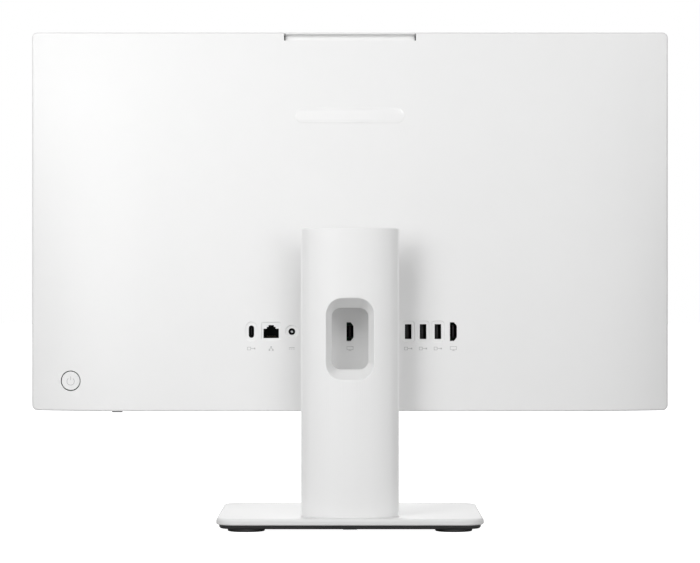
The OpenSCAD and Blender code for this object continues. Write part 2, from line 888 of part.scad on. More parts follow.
// Footprint of the flat front tray and of the curved rear shell, as (X, Y)
module tray_outline(inset) {
    r = 3;
    half = column_w / 2 - inset;
    y0 = column_front + inset;
    translate([-half, y0 + r]) square([2 * half, tray_d - inset - r]);
    translate([-half + r, y0]) square([2 * (half - r), tray_d - inset]);
    for (s = [-1, 1]) translate([s * (half - r), y0 + r]) circle(r = r);
}

module shell_outline(inset) {
    intersection() {
        translate([0, column_arc_y]) circle(r = column_arc - inset, $fn = FINE);
        translate([-shell_half + inset, column_front + tray_d + GAP])
            square([2 * (shell_half - inset), 40]);
    }
}

// The window: wide at the curved back, narrow at the front
module window_funnel(grow) {
    slice = 0.2;
    hull() {
        along_y(column_rear + 1 - slice, column_rear + 1) translate([0, window_z])
            round_rect(window_outer + [2 * grow, 2 * grow], window_outer_r + grow, $fn = SMOOTH);
        along_y(column_front + tray_d, column_front + tray_d + slice) translate([0, window_z])
            round_rect(window_inner + [2 * grow, 2 * grow], window_inner_r + grow, $fn = SMOOTH);
    }
}

// The straight part of the window, which runs to the front
module window_throat(grow, y0, y1) {
    along_y(y0, y1) translate([0, window_z])
        round_rect(window_inner + [2 * grow, 2 * grow], window_inner_r + grow);
}

module column_rear_shell() {
    height = column_top - column_floor;
    funnel_wall = 1.6;
    throat_y = column_front + column_wall + GAP;
    color("white") difference() {
        union() {
            translate([0, 0, column_floor]) difference() {
                linear_extrude(height) shell_outline(0);
                translate([0, 0, -1]) linear_extrude(height - column_wall + 1)
                    difference() {
                        shell_outline(column_wall);
                        translate([-50, 0]) square([100, column_front + tray_d + GAP]);
                    }
                translate([0, 0, -1]) linear_extrude(height - column_wall + 1)
                    translate([-shell_half + column_wall, column_front + tray_d - 1])
                        square([2 * (shell_half - column_wall), 2.2]);
            }
            intersection() {
                window_funnel(funnel_wall);
                translate([0, 0, column_floor]) linear_extrude(height) shell_outline(0.5);
            }
            window_throat(funnel_wall, throat_y, column_front + tray_d + 0.6);
        }
        window_funnel(0);
        window_throat(0, throat_y - 1, column_front + tray_d + 1);
    }
}

module column_front_shell() {
    height = column_top - column_floor;
    color("white") difference() {
        translate([0, 0, column_floor]) linear_extrude(height) tray_outline(0);
        translate([0, 0, column_floor - 1]) linear_extrude(height - column_wall + 1)
            difference() {
                union() {
                    tray_outline(column_wall);
                    translate([-column_w / 2 + column_wall, column_front + tray_d - 1])
                        square([column_w - 2 * column_wall, 2]);
                }
                translate([-50, 0]) square([100, column_front + column_wall]);
            }
        window_throat(0, column_front - 1, column_front + column_wall + 1);
        // slots for the hinge ears
        both_sides() block([ear_x[0] - 0.5, ear_x[1] + 0.5],
                           [column_front - 1, column_front + column_wall + 1],
                           [hinge_z - 8.5, hinge_z + 8.5]);
    }
}

// Steel spine with a foot that takes the lock screw
module column_spine() {
    half = 30;
    foot_half = 22;
    foot_t = 4;
    boss = [6, 8];
    window_half = [20.5, 31];
    thread_r = 3;
    color("silver") difference() {
        union() {
            block([-half, half], spine_y, [column_floor, column_top - 6]);
            block([-foot_half, foot_half], [spine_y[0], spine_y[0] + 12.5],
                  [column_floor, column_floor + foot_t]);
            translate([0, lock_y, column_floor]) cylinder(r = boss[0], h = boss[1]);
        }
        block([-window_half[0], window_half[0]], [spine_y[0] - 1, spine_y[1] + 1],
              [window_z - window_half[1], window_z + window_half[1]]);
        translate([0, lock_y, column_floor - 1]) cylinder(r = thread_r, h = boss[1] + 2);
        both_sides() for (p = hinge_screw_at)
            rod_y(p[0] - spine_screw_in, p[1] + head_z, m4_hole_r, spine_y[0] - 1, spine_y[1] + 1);
    }
}

// ---------------------------------------------------------------- base

module base_outline(inset) {
    round_rect([base_w - 2 * inset, base_d - 2 * inset], base_r - inset);
}

// A slab of the base's outline whose upper edge is rounded
module soft_slab(inset, z, r) {
    half_w = base_w / 2 - inset;
    half_d = base_d / 2 - inset;
    corner = base_r - inset;
    translate([0, 0, z[0]]) linear_extrude(z[1] - z[0] - r) base_outline(inset);
    translate([0, 0, z[1] - r]) {
        linear_extrude(r) base_outline(inset + r);
        for (s = [-1, 1]) {
            rod_x(s * (half_d - r), 0, r, -half_w + corner, half_w - corner);
            rod_y(s * (half_w - r), 0, r, -half_d + corner, half_d - corner);
        }
        for (sx = [-1, 1], sy = [-1, 1])
            translate([sx * (half_w - corner), sy * (half_d - corner), 0])
                rotate_extrude() translate([corner - r, 0]) circle(r = r);
    }
}

module base_top_cover() {
    side_wall = 2;
    hole_gap = 0.5;
    color("white") difference() {
        soft_slab(0, cover_z, 2.4);
        translate([0, 0, cover_z[0] - 1])
            linear_extrude(cover_z[1] - cover_z[0] - cover_roof + 1) base_outline(side_wall);
        // opening for the column
        translate([0, 0, cover_z[0]]) linear_extrude(10) {
            translate([-column_w / 2 - hole_gap, column_front - hole_gap])
                square([column_w + 2 * hole_gap, tray_d + 2 + 2 * hole_gap]);
            intersection() {
                translate([0, column_arc_y]) circle(r = column_arc + hole_gap, $fn = FINE);
                translate([-shell_half - hole_gap, column_front])
                    square([2 * (shell_half + hole_gap), 40]);
            }
        }
    }
}

module base_plate() {
    color("silver") difference() {
        translate([0, 0, steel_z[0]]) linear_extrude(steel_z[1] - steel_z[0])
            base_outline(under_inset);
        translate([0, lock_y, 0]) cylinder(r = 3.3, h = 30);
        for (p = base_screw_at) translate([p[0], p[1], 0]) cylinder(r = 1.45, h = 30);
    }
}

module base_bottom_cover() {
    floor_t = 1.5;
    wall = 2;
    screw_head = [2.8, 1.3];
    color("black") difference() {
        union() {
            difference() {
                union() {
                    translate([0, 0, under_z[0]]) linear_extrude(1) base_outline(under_inset + 0.8);
                    translate([0, 0, under_z[0] + 0.8])
                        linear_extrude(under_z[1] - under_z[0] - 0.8) base_outline(under_inset);
                }
                translate([0, 0, under_z[0] + floor_t]) linear_extrude(10)
                    base_outline(under_inset + wall);
            }
            translate([0, lock_y, under_z[0]])
                cylinder(r = lock_well_r + 1.5, h = under_z[1] - under_z[0]);
            for (p = base_screw_at) translate([p[0], p[1], under_z[0]])
                cylinder(r = 4.5, h = under_z[1] - under_z[0]);
        }
        translate([0, lock_y, 0]) cylinder(r = lock_well_r, h = 30);
        for (p = base_screw_at) translate([p[0], p[1], 0]) {
            cylinder(r = 1.5, h = 30);
            cylinder(r = screw_head[0], h = under_z[0] + screw_head[1]);
        }
    }
}

module base_feet() {
    color("dimgray") for (sx = [-1, 1], sy = [-1, 1])
        translate([sx * foot_at[0], sy * foot_at[1], 0]) {
            cylinder(r1 = foot_r - 1, r2 = foot_r, h = 0.8);
            translate([0, 0, 0.8]) cylinder(r = foot_r, h = foot_h - 0.8);
        }
}

// Captive screw that holds the column to the base, with a folding ring to turn it by
lock_head = [8, 1.9];
lug = [3.5, 2.5];
lug_z = [1.1, under_z[1] - lock_head[1]];
ring_pivot_z = 2.3;
ring_pin_r = 0.8;

module lock_screw() {
    shank_r = 2.95;
    color("silver") translate([0, lock_y, 0]) difference() {
        union() {
            translate([0, 0, under_z[1] - lock_head[1]]) cylinder(r = lock_head[0], h = lock_head[1]);
            translate([0, 0, under_z[1] - 0.5]) cylinder(r = shank_r, h = column_floor + 8 - under_z[1]);
            block([-lug[0], lug[0]], [-lug[1], lug[1]], [lug_z[0], lug_z[1] + 0.5]);
        }
        rod_x(0, ring_pivot_z, ring_pin_r + 0.05, -lug[0] - 1, lug[0] + 1);
    }
}

module lock_ring() {
    leg_x = [lug[0] + 0.3, lug[0] + 2.3];
    leg_half = 0.8;
    reach = 11;
    color("silver") translate([0, lock_y, 0]) {
        both_sides() {
            block(leg_x, [0, reach], [ring_pivot_z - leg_half, ring_pivot_z + leg_half]);
            rod_x(0, ring_pivot_z, 1.15, leg_x[0], leg_x[1]);
        }
        rod_x(0, ring_pivot_z, ring_pin_r, -leg_x[1], leg_x[1]);
        block([-leg_x[1], leg_x[1]], [reach - 2, reach],
              [ring_pivot_z - leg_half, ring_pivot_z + leg_half]);
    }
}

// ---------------------------------------------------------------- fasteners

module board_screws() {
    color("gray") in_head() for (p = board_screw_at) {
        rod_y(p[0], p[1], 1.2, plate_y[0] + 0.4, on_board + 0.5);
        rod_y(p[0], p[1], 2.6, on_board, on_board + 1.5);
    }
}

// Screws of the head's hinge bracket, from the rear
module bracket_screws() {
    y1 = inside_y + bracket_t + GAP;
    color("gray") in_head() both_sides() for (p = hinge_screw_at) {
        rod_y(p[0], p[1], m4_shank_r, plate_y[0], y1 + 0.5);
        rod_y(p[0], p[1], m4_head[0], y1, y1 + m4_head[1]);
    }
}

// Screws of the stand's hinge bracket, through the spine
module spine_screws() {
    y1 = spine_y[1] + GAP;
    color("gray") in_head() both_sides() for (p = hinge_screw_at) {
        rod_y(p[0] - spine_screw_in, p[1], m4_shank_r, column_front + 2.4, y1 + 0.5);
        rod_y(p[0] - spine_screw_in, p[1], m4_head[0], y1, y1 + m4_head[1]);
    }
}

module base_screws() {
    head = [2.6, 1.2];
    color("gray") for (p = base_screw_at) translate([p[0], p[1], under_z[0] + 0.05]) {
        cylinder(r = 1.4, h = 5.5);
        cylinder(r = head[0], h = head[1]);
    }
}

// ---------------------------------------------------------------- output

rear_cover();
front_frame();
screen_glass();
lcd_module();
chassis_plate();
badge();
mainboard();
board_components();
cpu();
cold_plate();
heat_pipe();
heatsink_fins();
fan_housing();
fan_rotor();
memory_sockets();
memory_modules();
ssd();
wifi_card();
antennas();
antenna_cables();
speaker_left();
speaker_right();
usb_a_shells();
video_shells();
port_tongues();
usb_c_port();
ethernet_jack();
ethernet_contacts();
dc_jack();
dc_pin();
power_button();
source_button();
button_switches();
camera_bar();
camera_window();
camera_lens();
camera_board();
camera_guides();
camera_detent();
camera_cable();
display_cable();
hinge_bracket_head();
hinge_bracket_stand();
hinge_shaft();
hinge_washers();
hinge_nut();
hinge_cover();
column_rear_shell();
column_front_shell();
column_spine();
base_top_cover();
base_plate();
base_bottom_cover();
base_feet();
lock_screw();
lock_ring();
board_screws();
bracket_screws();
spine_screws();
base_screws();
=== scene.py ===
"""Looks of the all-in-one desktop computer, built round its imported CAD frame."""
import json
import math

import bmesh
import bpy
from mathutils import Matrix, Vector

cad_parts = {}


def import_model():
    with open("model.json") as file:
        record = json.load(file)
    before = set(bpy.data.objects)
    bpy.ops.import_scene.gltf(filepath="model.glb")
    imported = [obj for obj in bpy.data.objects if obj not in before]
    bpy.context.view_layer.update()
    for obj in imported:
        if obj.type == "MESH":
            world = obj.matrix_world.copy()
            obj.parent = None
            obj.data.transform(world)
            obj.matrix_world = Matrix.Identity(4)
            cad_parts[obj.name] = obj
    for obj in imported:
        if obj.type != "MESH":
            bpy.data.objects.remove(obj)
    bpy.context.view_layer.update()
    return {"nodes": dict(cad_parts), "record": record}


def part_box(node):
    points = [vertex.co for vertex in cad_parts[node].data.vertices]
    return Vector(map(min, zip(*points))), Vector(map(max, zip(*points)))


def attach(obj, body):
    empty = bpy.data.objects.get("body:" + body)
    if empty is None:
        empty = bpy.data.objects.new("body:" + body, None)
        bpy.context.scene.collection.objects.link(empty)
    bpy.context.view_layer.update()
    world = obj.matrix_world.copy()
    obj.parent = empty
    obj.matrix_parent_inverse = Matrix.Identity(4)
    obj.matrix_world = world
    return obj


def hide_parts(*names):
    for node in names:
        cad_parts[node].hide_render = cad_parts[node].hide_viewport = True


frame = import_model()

MM = 0.001
NODES = frame["nodes"]


# -------------------- places taken from the frame

def box_mm(node):
    """Corners of a CAD node's box, in millimetres."""
    low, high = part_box(node)
    return low / MM, high / MM


COVER_LOW, COVER_HIGH = box_mm("rear_cover")
HALF_W = COVER_HIGH.x
HEAD_Z = COVER_LOW.z
HEAD_H = COVER_HIGH.z - COVER_LOW.z
SEAM_Y = COVER_LOW.y
BACK_Y = COVER_HIGH.y
FRONT_Y = box_mm("front_frame")[0].y
RIM_Y = FRONT_Y + 14      # the back at its thin rim
BULGE = BACK_Y - RIM_Y    # how much further it stands out at the bottom
WALL = 2.2
CORNER_R = 4.5
LIP, CHIN = 2.1, 15.1     # front frame beside and under the screen
SIDE_RUN = 100            # width of the curved strip at each side of the back
FLAT_HALF = HALF_W - SIDE_RUN
ARC_V = (HEAD_H ** 2 + BULGE ** 2) / (2 * BULGE)
ARC_H = (SIDE_RUN ** 2 + BULGE ** 2) / (2 * BULGE)
# centres of the sockets; PORT_Z and BUTTON_Z are heights above the head's bottom edge
PORT_Z = sum(c.z for c in box_mm("dc_pin")) / 2 - HEAD_Z
USB_X = (-49, -61.5, -74)
VIDEO_X = (0, -87)
USB_C_X = 83
NET_X = 66.4
DC_X = 49
USB_MOUTH = (5.5, 12.5, 0.3, 3)    # width, height, corner radius, corner steps
DC_BORE_R = 2.85
CAMERA_HALF = 55.05       # half the length of the camera bar
CAMERA_GAP = 0.95         # between the camera bar and the ends of its notch
NOTCH_DEPTH = 6.9
HINGE_Z = 224.8           # hinge axis above the desk
ARM_X = 18                # hinge arms, either side of the middle
BUTTON_X, BUTTON_Z, BUTTON_R = 236, 25.4, 8.6
SOURCE_X, SOURCE_Y = 197.2, 22
VENT_RANGES = ((-84, 85), (-174, -107), (-240, -191), (130, 183))    # slots along the underside
VENT_PITCH = 6


def back_y(x, z):
    """Y of the head's back at x, and z above its bottom edge."""
    z = min(max(z, 0), HEAD_H)
    out = min(max(abs(x) - FLAT_HALF, 0), SIDE_RUN)
    up = BULGE - ARC_V + math.sqrt(ARC_V ** 2 - z * z)
    side = BULGE - ARC_H + math.sqrt(ARC_H ** 2 - out * out)
    return RIM_Y + max(up, 0) * max(side, 0) / BULGE


# -------------------- mesh helpers, in millimetres

def cosd(angle):
    return math.cos(math.radians(angle))


def sind(angle):
    return math.sin(math.radians(angle))


def split(a, b, parts):
    return [a + (b - a) * i / parts for i in range(parts + 1)]


def finish_mesh(bm, name, angle=32):
    bmesh.ops.remove_doubles(bm, verts=bm.verts, dist=1e-4)
    bmesh.ops.dissolve_degenerate(bm, edges=bm.edges, dist=1e-4)
    bmesh.ops.recalc_face_normals(bm, faces=bm.faces)
    bmesh.ops.scale(bm, vec=(MM, MM, MM), verts=bm.verts)
    mesh = bpy.data.meshes.new(name)
    bm.to_mesh(mesh)
    bm.free()
    smooth(mesh, angle)
    piece = bpy.data.objects.new(name, mesh)
    bpy.context.scene.collection.objects.link(piece)
    return piece


def smooth(mesh, angle):
    for face in mesh.polygons:
        face.use_smooth = True
    mesh.set_sharp_from_angle(angle=math.radians(angle))


def add_loft(bm, loops, caps=(True, True)):
    """Quads between loops of equally many points, with a face over each capped end."""
    rows = [[bm.verts.new(p) for p in loop] for loop in loops]
    count = len(loops[0])
    for low, high in zip(rows, rows[1:]):
        for i in range(count):
            j = (i + 1) % count
            bm.faces.new((low[i], low[j], high[j], high[i]))
    if caps[0]:
        bm.faces.new(rows[0])
    if caps[1]:
        bm.faces.new(rows[-1])


def loft(name, loops, caps=(True, True), angle=32):
    bm = bmesh.new()
    add_loft(bm, loops, caps)
    return finish_mesh(bm, name, angle)


def many(name, groups):
    """One object from several closed lofts."""
    bm = bmesh.new()
    for loops in groups:
        add_loft(bm, loops)
    return finish_mesh(bm, name)


def ring(loops):
    """Loops of a closed tube: the last loop joins the first."""
    return loops + [loops[0]]


def round_rect(w, h, r, n=6, at=(0, 0)):
    """Corner points of a rounded rectangle, anticlockwise."""
    r = max(min(r, w / 2 - 1e-4, h / 2 - 1e-4), 1e-3)
    points = []
    for k, (sx, sy) in enumerate(((1, -1), (1, 1), (-1, 1), (-1, -1))):
        for i in range(n + 1):
            a = -90 + 90 * k + 90 * i / n
            points.append((at[0] + sx * (w / 2 - r) + r * cosd(a),
                           at[1] + sy * (h / 2 - r) + r * sind(a)))
    return points


def offset(points, o):
    """A polygon's edges moved outwards by o, for an anticlockwise polygon."""
    moved = []
    count = len(points)
    for i in range(count):
        a, b, c = Vector(points[i - 1]), Vector(points[i]), Vector(points[(i + 1) % count])
        n1 = Vector(((b - a).y, -(b - a).x)).normalized()
        n2 = Vector(((c - b).y, -(c - b).x)).normalized()
        moved.append(tuple(b + (n1 + n2) * (o / (1 + n1.dot(n2)))))
    return moved


def circle(r, n=48, at=(0, 0)):
    return [(at[0] + r * math.cos(2 * math.pi * i / n), at[1] + r * math.sin(2 * math.pi * i / n))
            for i in range(n)]


def fillet(r, steps=5):
    """(inset, rise) along a quarter round of radius r, from the wall to the flat."""
    return [(r - r * cosd(90 * i / steps), r * sind(90 * i / steps)) for i in range(steps + 1)]


def carve(piece, cutter, operation="DIFFERENCE", angle=32):
    """Cut a closed mesh from a piece, or join it on, and delete the cutter."""
    mod = piece.modifiers.new("cut", "BOOLEAN")
    mod.object = cutter
    mod.operation = operation
    mod.solver = "MANIFOLD"
    graph = bpy.context.evaluated_depsgraph_get()
    graph.update()
    mesh = bpy.data.meshes.new_from_object(piece.evaluated_get(graph))
    piece.modifiers.clear()
    old = piece.data
    piece.data = mesh
    mesh.name = old.name
    bpy.data.meshes.remove(old)
    data = cutter.data
    bpy.data.objects.remove(cutter)
    bpy.data.meshes.remove(data)
    bm = bmesh.new()
    bm.from_mesh(mesh)
    bmesh.ops.remove_doubles(bm, verts=bm.verts, dist=1e-7)
    bmesh.ops.dissolve_degenerate(bm, edges=bm.edges, dist=1e-7)
    bm.to_mesh(mesh)
    bm.free()
    smooth(mesh, angle)


def weigh_normals(piece):
    mod = piece.modifiers.new("normals", "WEIGHTED_NORMAL")
    mod.keep_sharp = True
    mod.weight = 50


def place(piece, body, material, slot, *replaced):
    """Give a piece its look and its body, and hide the CAD nodes that it stands in for."""
    piece.data.materials.clear()
    piece.data.materials.append(material)
    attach(piece, body)
    if replaced:
        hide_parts(*replaced)


def on_back(points, depth, at=(0, 0)):
    """A loop of (x, z) points laid on the head's back, sunk by depth."""
    return [(at[0] + x, back_y(at[0] + x, at[1] + z) - depth, HEAD_Z + at[1] + z)
            for x, z in points]


def plane_y(points, y, at=(0, 0)):
    return [(at[0] + x, y, at[1] + z) for x, z in points]


def plane_z(points, z):
    return [(x, y, z) for x, y in points]


# -------------------- materials

def new_material(name):
    mat = bpy.data.materials.new(name)
    mat.use_nodes = True
    nodes = mat.node_tree.nodes
    return mat, nodes, mat.node_tree.links, nodes["Principled BSDF"]


def fill(node, values):
    for name, value in values.items():
        node.inputs[name].default_value = value


def coords(nodes, links, stretch=(1, 1, 1)):
    coord = nodes.new("ShaderNodeTexCoord")
    mapping = nodes.new("ShaderNodeMapping")
    fill(mapping, {"Scale": stretch})
    links.new(coord.outputs["Object"], mapping.inputs["Vector"])
    return mapping.outputs["Vector"]


def noise(nodes, links, vector, scale, detail=3, rough=0.5):
    node = nodes.new("ShaderNodeTexNoise")
    fill(node, {"Scale": scale, "Detail": detail, "Roughness": rough})
    links.new(vector, node.inputs["Vector"])
    return node.outputs["Fac"]


def spread(nodes, links, value, low, high, start=0.3, end=0.7):
    node = nodes.new("ShaderNodeMapRange")
    fill(node, {"From Min": start, "From Max": end, "To Min": low, "To Max": high})
    links.new(value, node.inputs["Value"])
    return node.outputs["Result"]


def mix_colour(nodes, links, factor, a, b):
    node = nodes.new("ShaderNodeMix")
    node.data_type = "RGBA"
    for socket, value in ((0, factor), (6, a), (7, b)):
        if isinstance(value, (tuple, float, int)):
            node.inputs[socket].default_value = value
        else:
            links.new(value, node.inputs[socket])
    return node.outputs[2]


def bump(nodes, links, height, strength, distance):
    node = nodes.new("ShaderNodeBump")
    fill(node, {"Strength": strength, "Distance": distance})
    links.new(height, node.inputs["Height"])
    return node.outputs["Normal"]


def math_node(nodes, links, operation, a, b):
    node = nodes.new("ShaderNodeMath")
    node.operation = operation
    for socket, value in ((0, a), (1, b)):
        if isinstance(value, (float, int)):
            node.inputs[socket].default_value = value
        else:
            links.new(value, node.inputs[socket])
    return node.outputs[0]


def edge_mask(nodes, links):
    """1 along worn convex edges, 0 elsewhere."""
    geometry = nodes.new("ShaderNodeNewGeometry")
    return spread(nodes, links, geometry.outputs["Pointiness"], 0, 1, 0.52, 0.62)


def moulded(name, colour, rough, grain=3200, depth=0.012, strength=0.35, spread_r=0.06,
            edge=0.03, coat=0.0, stretch=(1, 1, 1), metal=0.0, tint=0.02, specular=0.5):
    """Moulded, painted or plated surface: fine grain, patchy gloss, slightly worn edges."""
    mat, nodes, links, bsdf = new_material(name)
    vector = coords(nodes, links, stretch)
    patch = noise(nodes, links, vector, 35, 4)
    fine = noise(nodes, links, vector, grain, 2, 0.6)
    smudge = noise(nodes, links, vector, 9, 5, 0.6)
    light = tuple(min(c * (1 + tint), 1) for c in colour) + (1,)
    dark = tuple(c * (1 - tint) for c in colour) + (1,)
    base = mix_colour(nodes, links, spread(nodes, links, patch, 0, 1), dark, light)
    worn = tuple(min(c + edge, 1) for c in colour) + (1,)
    mask = edge_mask(nodes, links)
    links.new(mix_colour(nodes, links, mask, base, worn), bsdf.inputs["Base Color"])
    gloss = spread(nodes, links, smudge, rough - spread_r, rough + spread_r)
    rub = math_node(nodes, links, "MULTIPLY_ADD", mask, -0.12)
    links.new(gloss, rub.node.inputs[2])
    links.new(rub, bsdf.inputs["Roughness"])
    links.new(bump(nodes, links, fine, strength, depth * MM), bsdf.inputs["Normal"])
    fill(bsdf, {"Metallic": metal, "Specular IOR Level": specular, "Coat Weight": coat,
                "Coat Roughness": 0.06})
    return mat


def board(name, colour, copper):
    """Printed circuit board: solder mask with faint tracks and pads."""
    mat, nodes, links, bsdf = new_material(name)
    vector = coords(nodes, links)
    track = nodes.new("ShaderNodeTexBrick")
    fill(track, {"Scale": 180, "Mortar Size": 0.06, "Brick Width": 0.9, "Row Height": 0.35,
                 "Color1": colour + (1,), "Color2": tuple(c * 0.8 for c in colour) + (1,),
                 "Mortar": tuple(c * 1.5 for c in colour) + (1,)})
    turn = nodes.new("ShaderNodeMapping")
    fill(turn, {"Rotation": (math.radians(90), 0, 0)})
    links.new(vector, turn.inputs["Vector"])
    links.new(turn.outputs[0], track.inputs["Vector"])
    via = nodes.new("ShaderNodeTexVoronoi")
    fill(via, {"Scale": 260})
    links.new(vector, via.inputs["Vector"])
    pad = spread(nodes, links, via.outputs["Distance"], 1, 0, 0.1, 0.14)
    links.new(mix_colour(nodes, links, pad, track.outputs["Color"], copper + (1,)),
              bsdf.inputs["Base Color"])
    links.new(spread(nodes, links, noise(nodes, links, vector, 120), 0.25, 0.42),
              bsdf.inputs["Roughness"])
    links.new(bump(nodes, links, track.outputs["Fac"], 0.4, 0.04 * MM), bsdf.inputs["Normal"])
    return mat


def screen(name):
    """Dark glossy cover glass over a very dark grey panel, with faint smudges."""
    mat, nodes, links, bsdf = new_material(name)
    vector = coords(nodes, links)
    low, high = box_mm("screen_glass")
    cell = nodes.new("ShaderNodeTexWave")
    fill(cell, {"Scale": 900})
    links.new(vector, cell.inputs["Vector"])
    panel = mix_colour(nodes, links, cell.outputs["Fac"], (0.0075, 0.008, 0.0095, 1),
                       (0.0095, 0.010, 0.0115, 1))
    split_xyz = nodes.new("ShaderNodeSeparateXYZ")
    links.new(vector, split_xyz.inputs[0])
    masks = []
    for axis, middle, half in (("X", 0, high.x - 5.2),
                               ("Z", (low.z + high.z) / 2, (high.z - low.z) / 2 - 2.6)):
        shift = math_node(nodes, links, "SUBTRACT", split_xyz.outputs[axis], middle * MM)
        size = math_node(nodes, links, "ABSOLUTE", shift, 0)
        masks.append(math_node(nodes, links, "LESS_THAN", size, half * MM))
    lit_area = math_node(nodes, links, "MULTIPLY", *masks)
    links.new(mix_colour(nodes, links, lit_area, (0.0035, 0.0035, 0.0038, 1), panel),
              bsdf.inputs["Base Color"])
    smear = noise(nodes, links, vector, 7, 6, 0.65)
    links.new(spread(nodes, links, smear, 0.16, 0.24), bsdf.inputs["Roughness"])
    links.new(bump(nodes, links, noise(nodes, links, vector, 1800, 2), 0.05, 0.01 * MM),
              bsdf.inputs["Normal"])
    fill(bsdf, {"Specular IOR Level": 0.4, "Coat Weight": 0.15, "Coat Roughness": 0.05})
    return mat


WHITE = moulded("white_matte", (0.83, 0.83, 0.828), 0.46, edge=0.03, tint=0.004, spread_r=0.03)
WHITE_FRAME = moulded("white_satin", (0.83, 0.83, 0.828), 0.38, grain=4200, depth=0.008, tint=0.006)
# same white plastic as the rest, made darker: the lower tone is painted shade on the base top; the
# low gloss is its finish
WHITE_BASE_SHADED = moulded("white_base_painted_shade", (0.76, 0.76, 0.758), 0.5, grain=4200, depth=0.006, tint=0.004,
                     spread_r=0.01, specular=0.05)
WHITE_GLOSS = moulded("white_gloss", (0.88, 0.88, 0.878), 0.14, grain=1500, depth=0.004,
                      strength=0.15, coat=0.6)
INK = moulded("printed_grey", (0.5, 0.5, 0.5), 0.6, grain=5200, depth=0.01)
BLACK = moulded("black_matte", (0.022, 0.022, 0.023), 0.5, grain=2600, depth=0.02, edge=0.02,
                tint=0.12)
DEEP_BLACK = moulded("socket_black", (0.006, 0.006, 0.006), 0.55, grain=2600, depth=0.01,
                     edge=0.004, tint=0.2, specular=0.2)
TONGUE = moulded("tongue_black", (0.011, 0.011, 0.011), 0.5, grain=2600, depth=0.01, edge=0.01,
                 tint=0.15, specular=0.3)
GREY = moulded("grey_plastic", (0.2, 0.2, 0.205), 0.42, grain=2800, depth=0.014)
RUBBER = moulded("foot_rubber", (0.03, 0.03, 0.031), 0.72, grain=1400, depth=0.05,
                 strength=0.6, edge=0.02, tint=0.15)
CABLE = moulded("cable_black", (0.02, 0.02, 0.021), 0.5, grain=1800, tint=0.15)
STEEL = moulded("brushed_steel", (0.56, 0.565, 0.57), 0.34, grain=700, depth=0.01,
                stretch=(1, 1, 12), metal=1.0, edge=0.12)
ZINC = moulded("zinc_plate", (0.6, 0.61, 0.63), 0.3, grain=900, depth=0.008, metal=1.0, edge=0.15,
               tint=0.06)
DARK_ZINC = moulded("dark_nickel", (0.022, 0.022, 0.023), 0.5, grain=900, depth=0.008, metal=1.0,
                    edge=0.03, tint=0.1)
ALUMINIUM = moulded("aluminium", (0.78, 0.785, 0.79), 0.3, grain=900, depth=0.01,
                    stretch=(1, 6, 1), metal=1.0)
COPPER = moulded("copper", (0.8, 0.42, 0.27), 0.3, grain=700, depth=0.01, metal=1.0, tint=0.08)
GOLD = moulded("gold_contact", (0.85, 0.62, 0.28), 0.24, grain=900, depth=0.005, metal=1.0)
# gold darkened almost to black: painted shade for contacts deep inside the sockets
GOLD_PAINTED_SHADE = moulded("shaded_contact", (0.07, 0.055, 0.035), 0.5, grain=900, depth=0.005, edge=0.01,
                    metal=1.0)
AMBER = moulded("flex_amber", (0.4, 0.2, 0.05), 0.35, grain=600, depth=0.02, stretch=(8, 1, 1))
FLAT_GREY = moulded("flat_cable", (0.3, 0.31, 0.33), 0.45, grain=500, depth=0.03,
                    stretch=(6, 1, 1))
BOARD = board("circuit_board", (0.012, 0.075, 0.035), (0.6, 0.42, 0.2))
SCREEN = screen("screen_glass")

LOOKS = {
    "white_matte": WHITE, "white_frame": WHITE_FRAME, "white_gloss": WHITE_GLOSS,
    "screen_black": SCREEN, "black_plastic": BLACK, "grey_plastic": GREY,
    "circuit_green": BOARD, "steel": STEEL, "zinc": ZINC, "aluminium": ALUMINIUM,
    "copper": COPPER, "gold": GOLD, "foot_rubber": RUBBER, "cable_black": CABLE,
    "film_amber": AMBER, "film_grey": FLAT_GREY,
}


# -------------------- head: rear cover

def cover_loop(xs, zs, inset, depth=None, y=None):
    """Loop round the head at an inset, either at a given y or sunk below the back."""
    segments = 6
    r = CORNER_R - inset
    points = [(x, inset) for x in xs]
    corners = ((xs[-1], zs[0], -90), (xs[-1], zs[-1], 0), (xs[0], zs[-1], 90), (xs[0], zs[0], 180))
    sides = ([(HALF_W - inset, z) for z in zs], [(x, HEAD_H - inset) for x in reversed(xs)],
             [(-HALF_W + inset, z) for z in reversed(zs)], [])
    for (cx, cz, start), side in zip(corners, sides):
        for i in range(1, segments):
            a = start + 90 * i / segments
            points.append((cx + r * cosd(a), cz + r * sind(a)))
        points += side
    return [(x, back_y(x, z) - depth if y is None else y, HEAD_Z + z) for x, z in points]


def cover_shell():
    xs = split(-HALF_W + CORNER_R, HALF_W - CORNER_R, 108)
    zs = split(CORNER_R, HEAD_H - CORNER_R, 64)
    round_r = 1.5
    bm = bmesh.new()
    outside = [cover_loop(xs, zs, WALL, y=SEAM_Y), cover_loop(xs, zs, 0.3, y=SEAM_Y),
               cover_loop(xs, zs, 0.08, y=SEAM_Y + 0.08), cover_loop(xs, zs, 0, y=SEAM_Y + 0.3),
               cover_loop(xs, zs, 0, y=RIM_Y - round_r - 0.5)]
    outside += [cover_loop(xs, zs, inset, round_r - rise) for inset, rise in fillet(round_r)]
    outside += [cover_loop(xs, zs, d, 0) for d in (2.0, 3.0, CORNER_R)]
    inside = [cover_loop(xs, zs, WALL, y=SEAM_Y), cover_loop(xs, zs, WALL, WALL + 0.001),
              cover_loop(xs, zs, 3.2, WALL), cover_loop(xs, zs, CORNER_R, WALL)]
    add_loft(bm, outside, (False, False))
    add_loft(bm, inside, (False, False))
    for depth in (0, WALL):
        grid = [[bm.verts.new((x, back_y(x, z) - depth, HEAD_Z + z)) for x in xs] for z in zs]
        for low, high in zip(grid, grid[1:]):
            for i in range(len(xs) - 1):
                bm.faces.new((low[i], low[i + 1], high[i + 1], high[i]))
    return finish_mesh(bm, "rear_cover_shell")


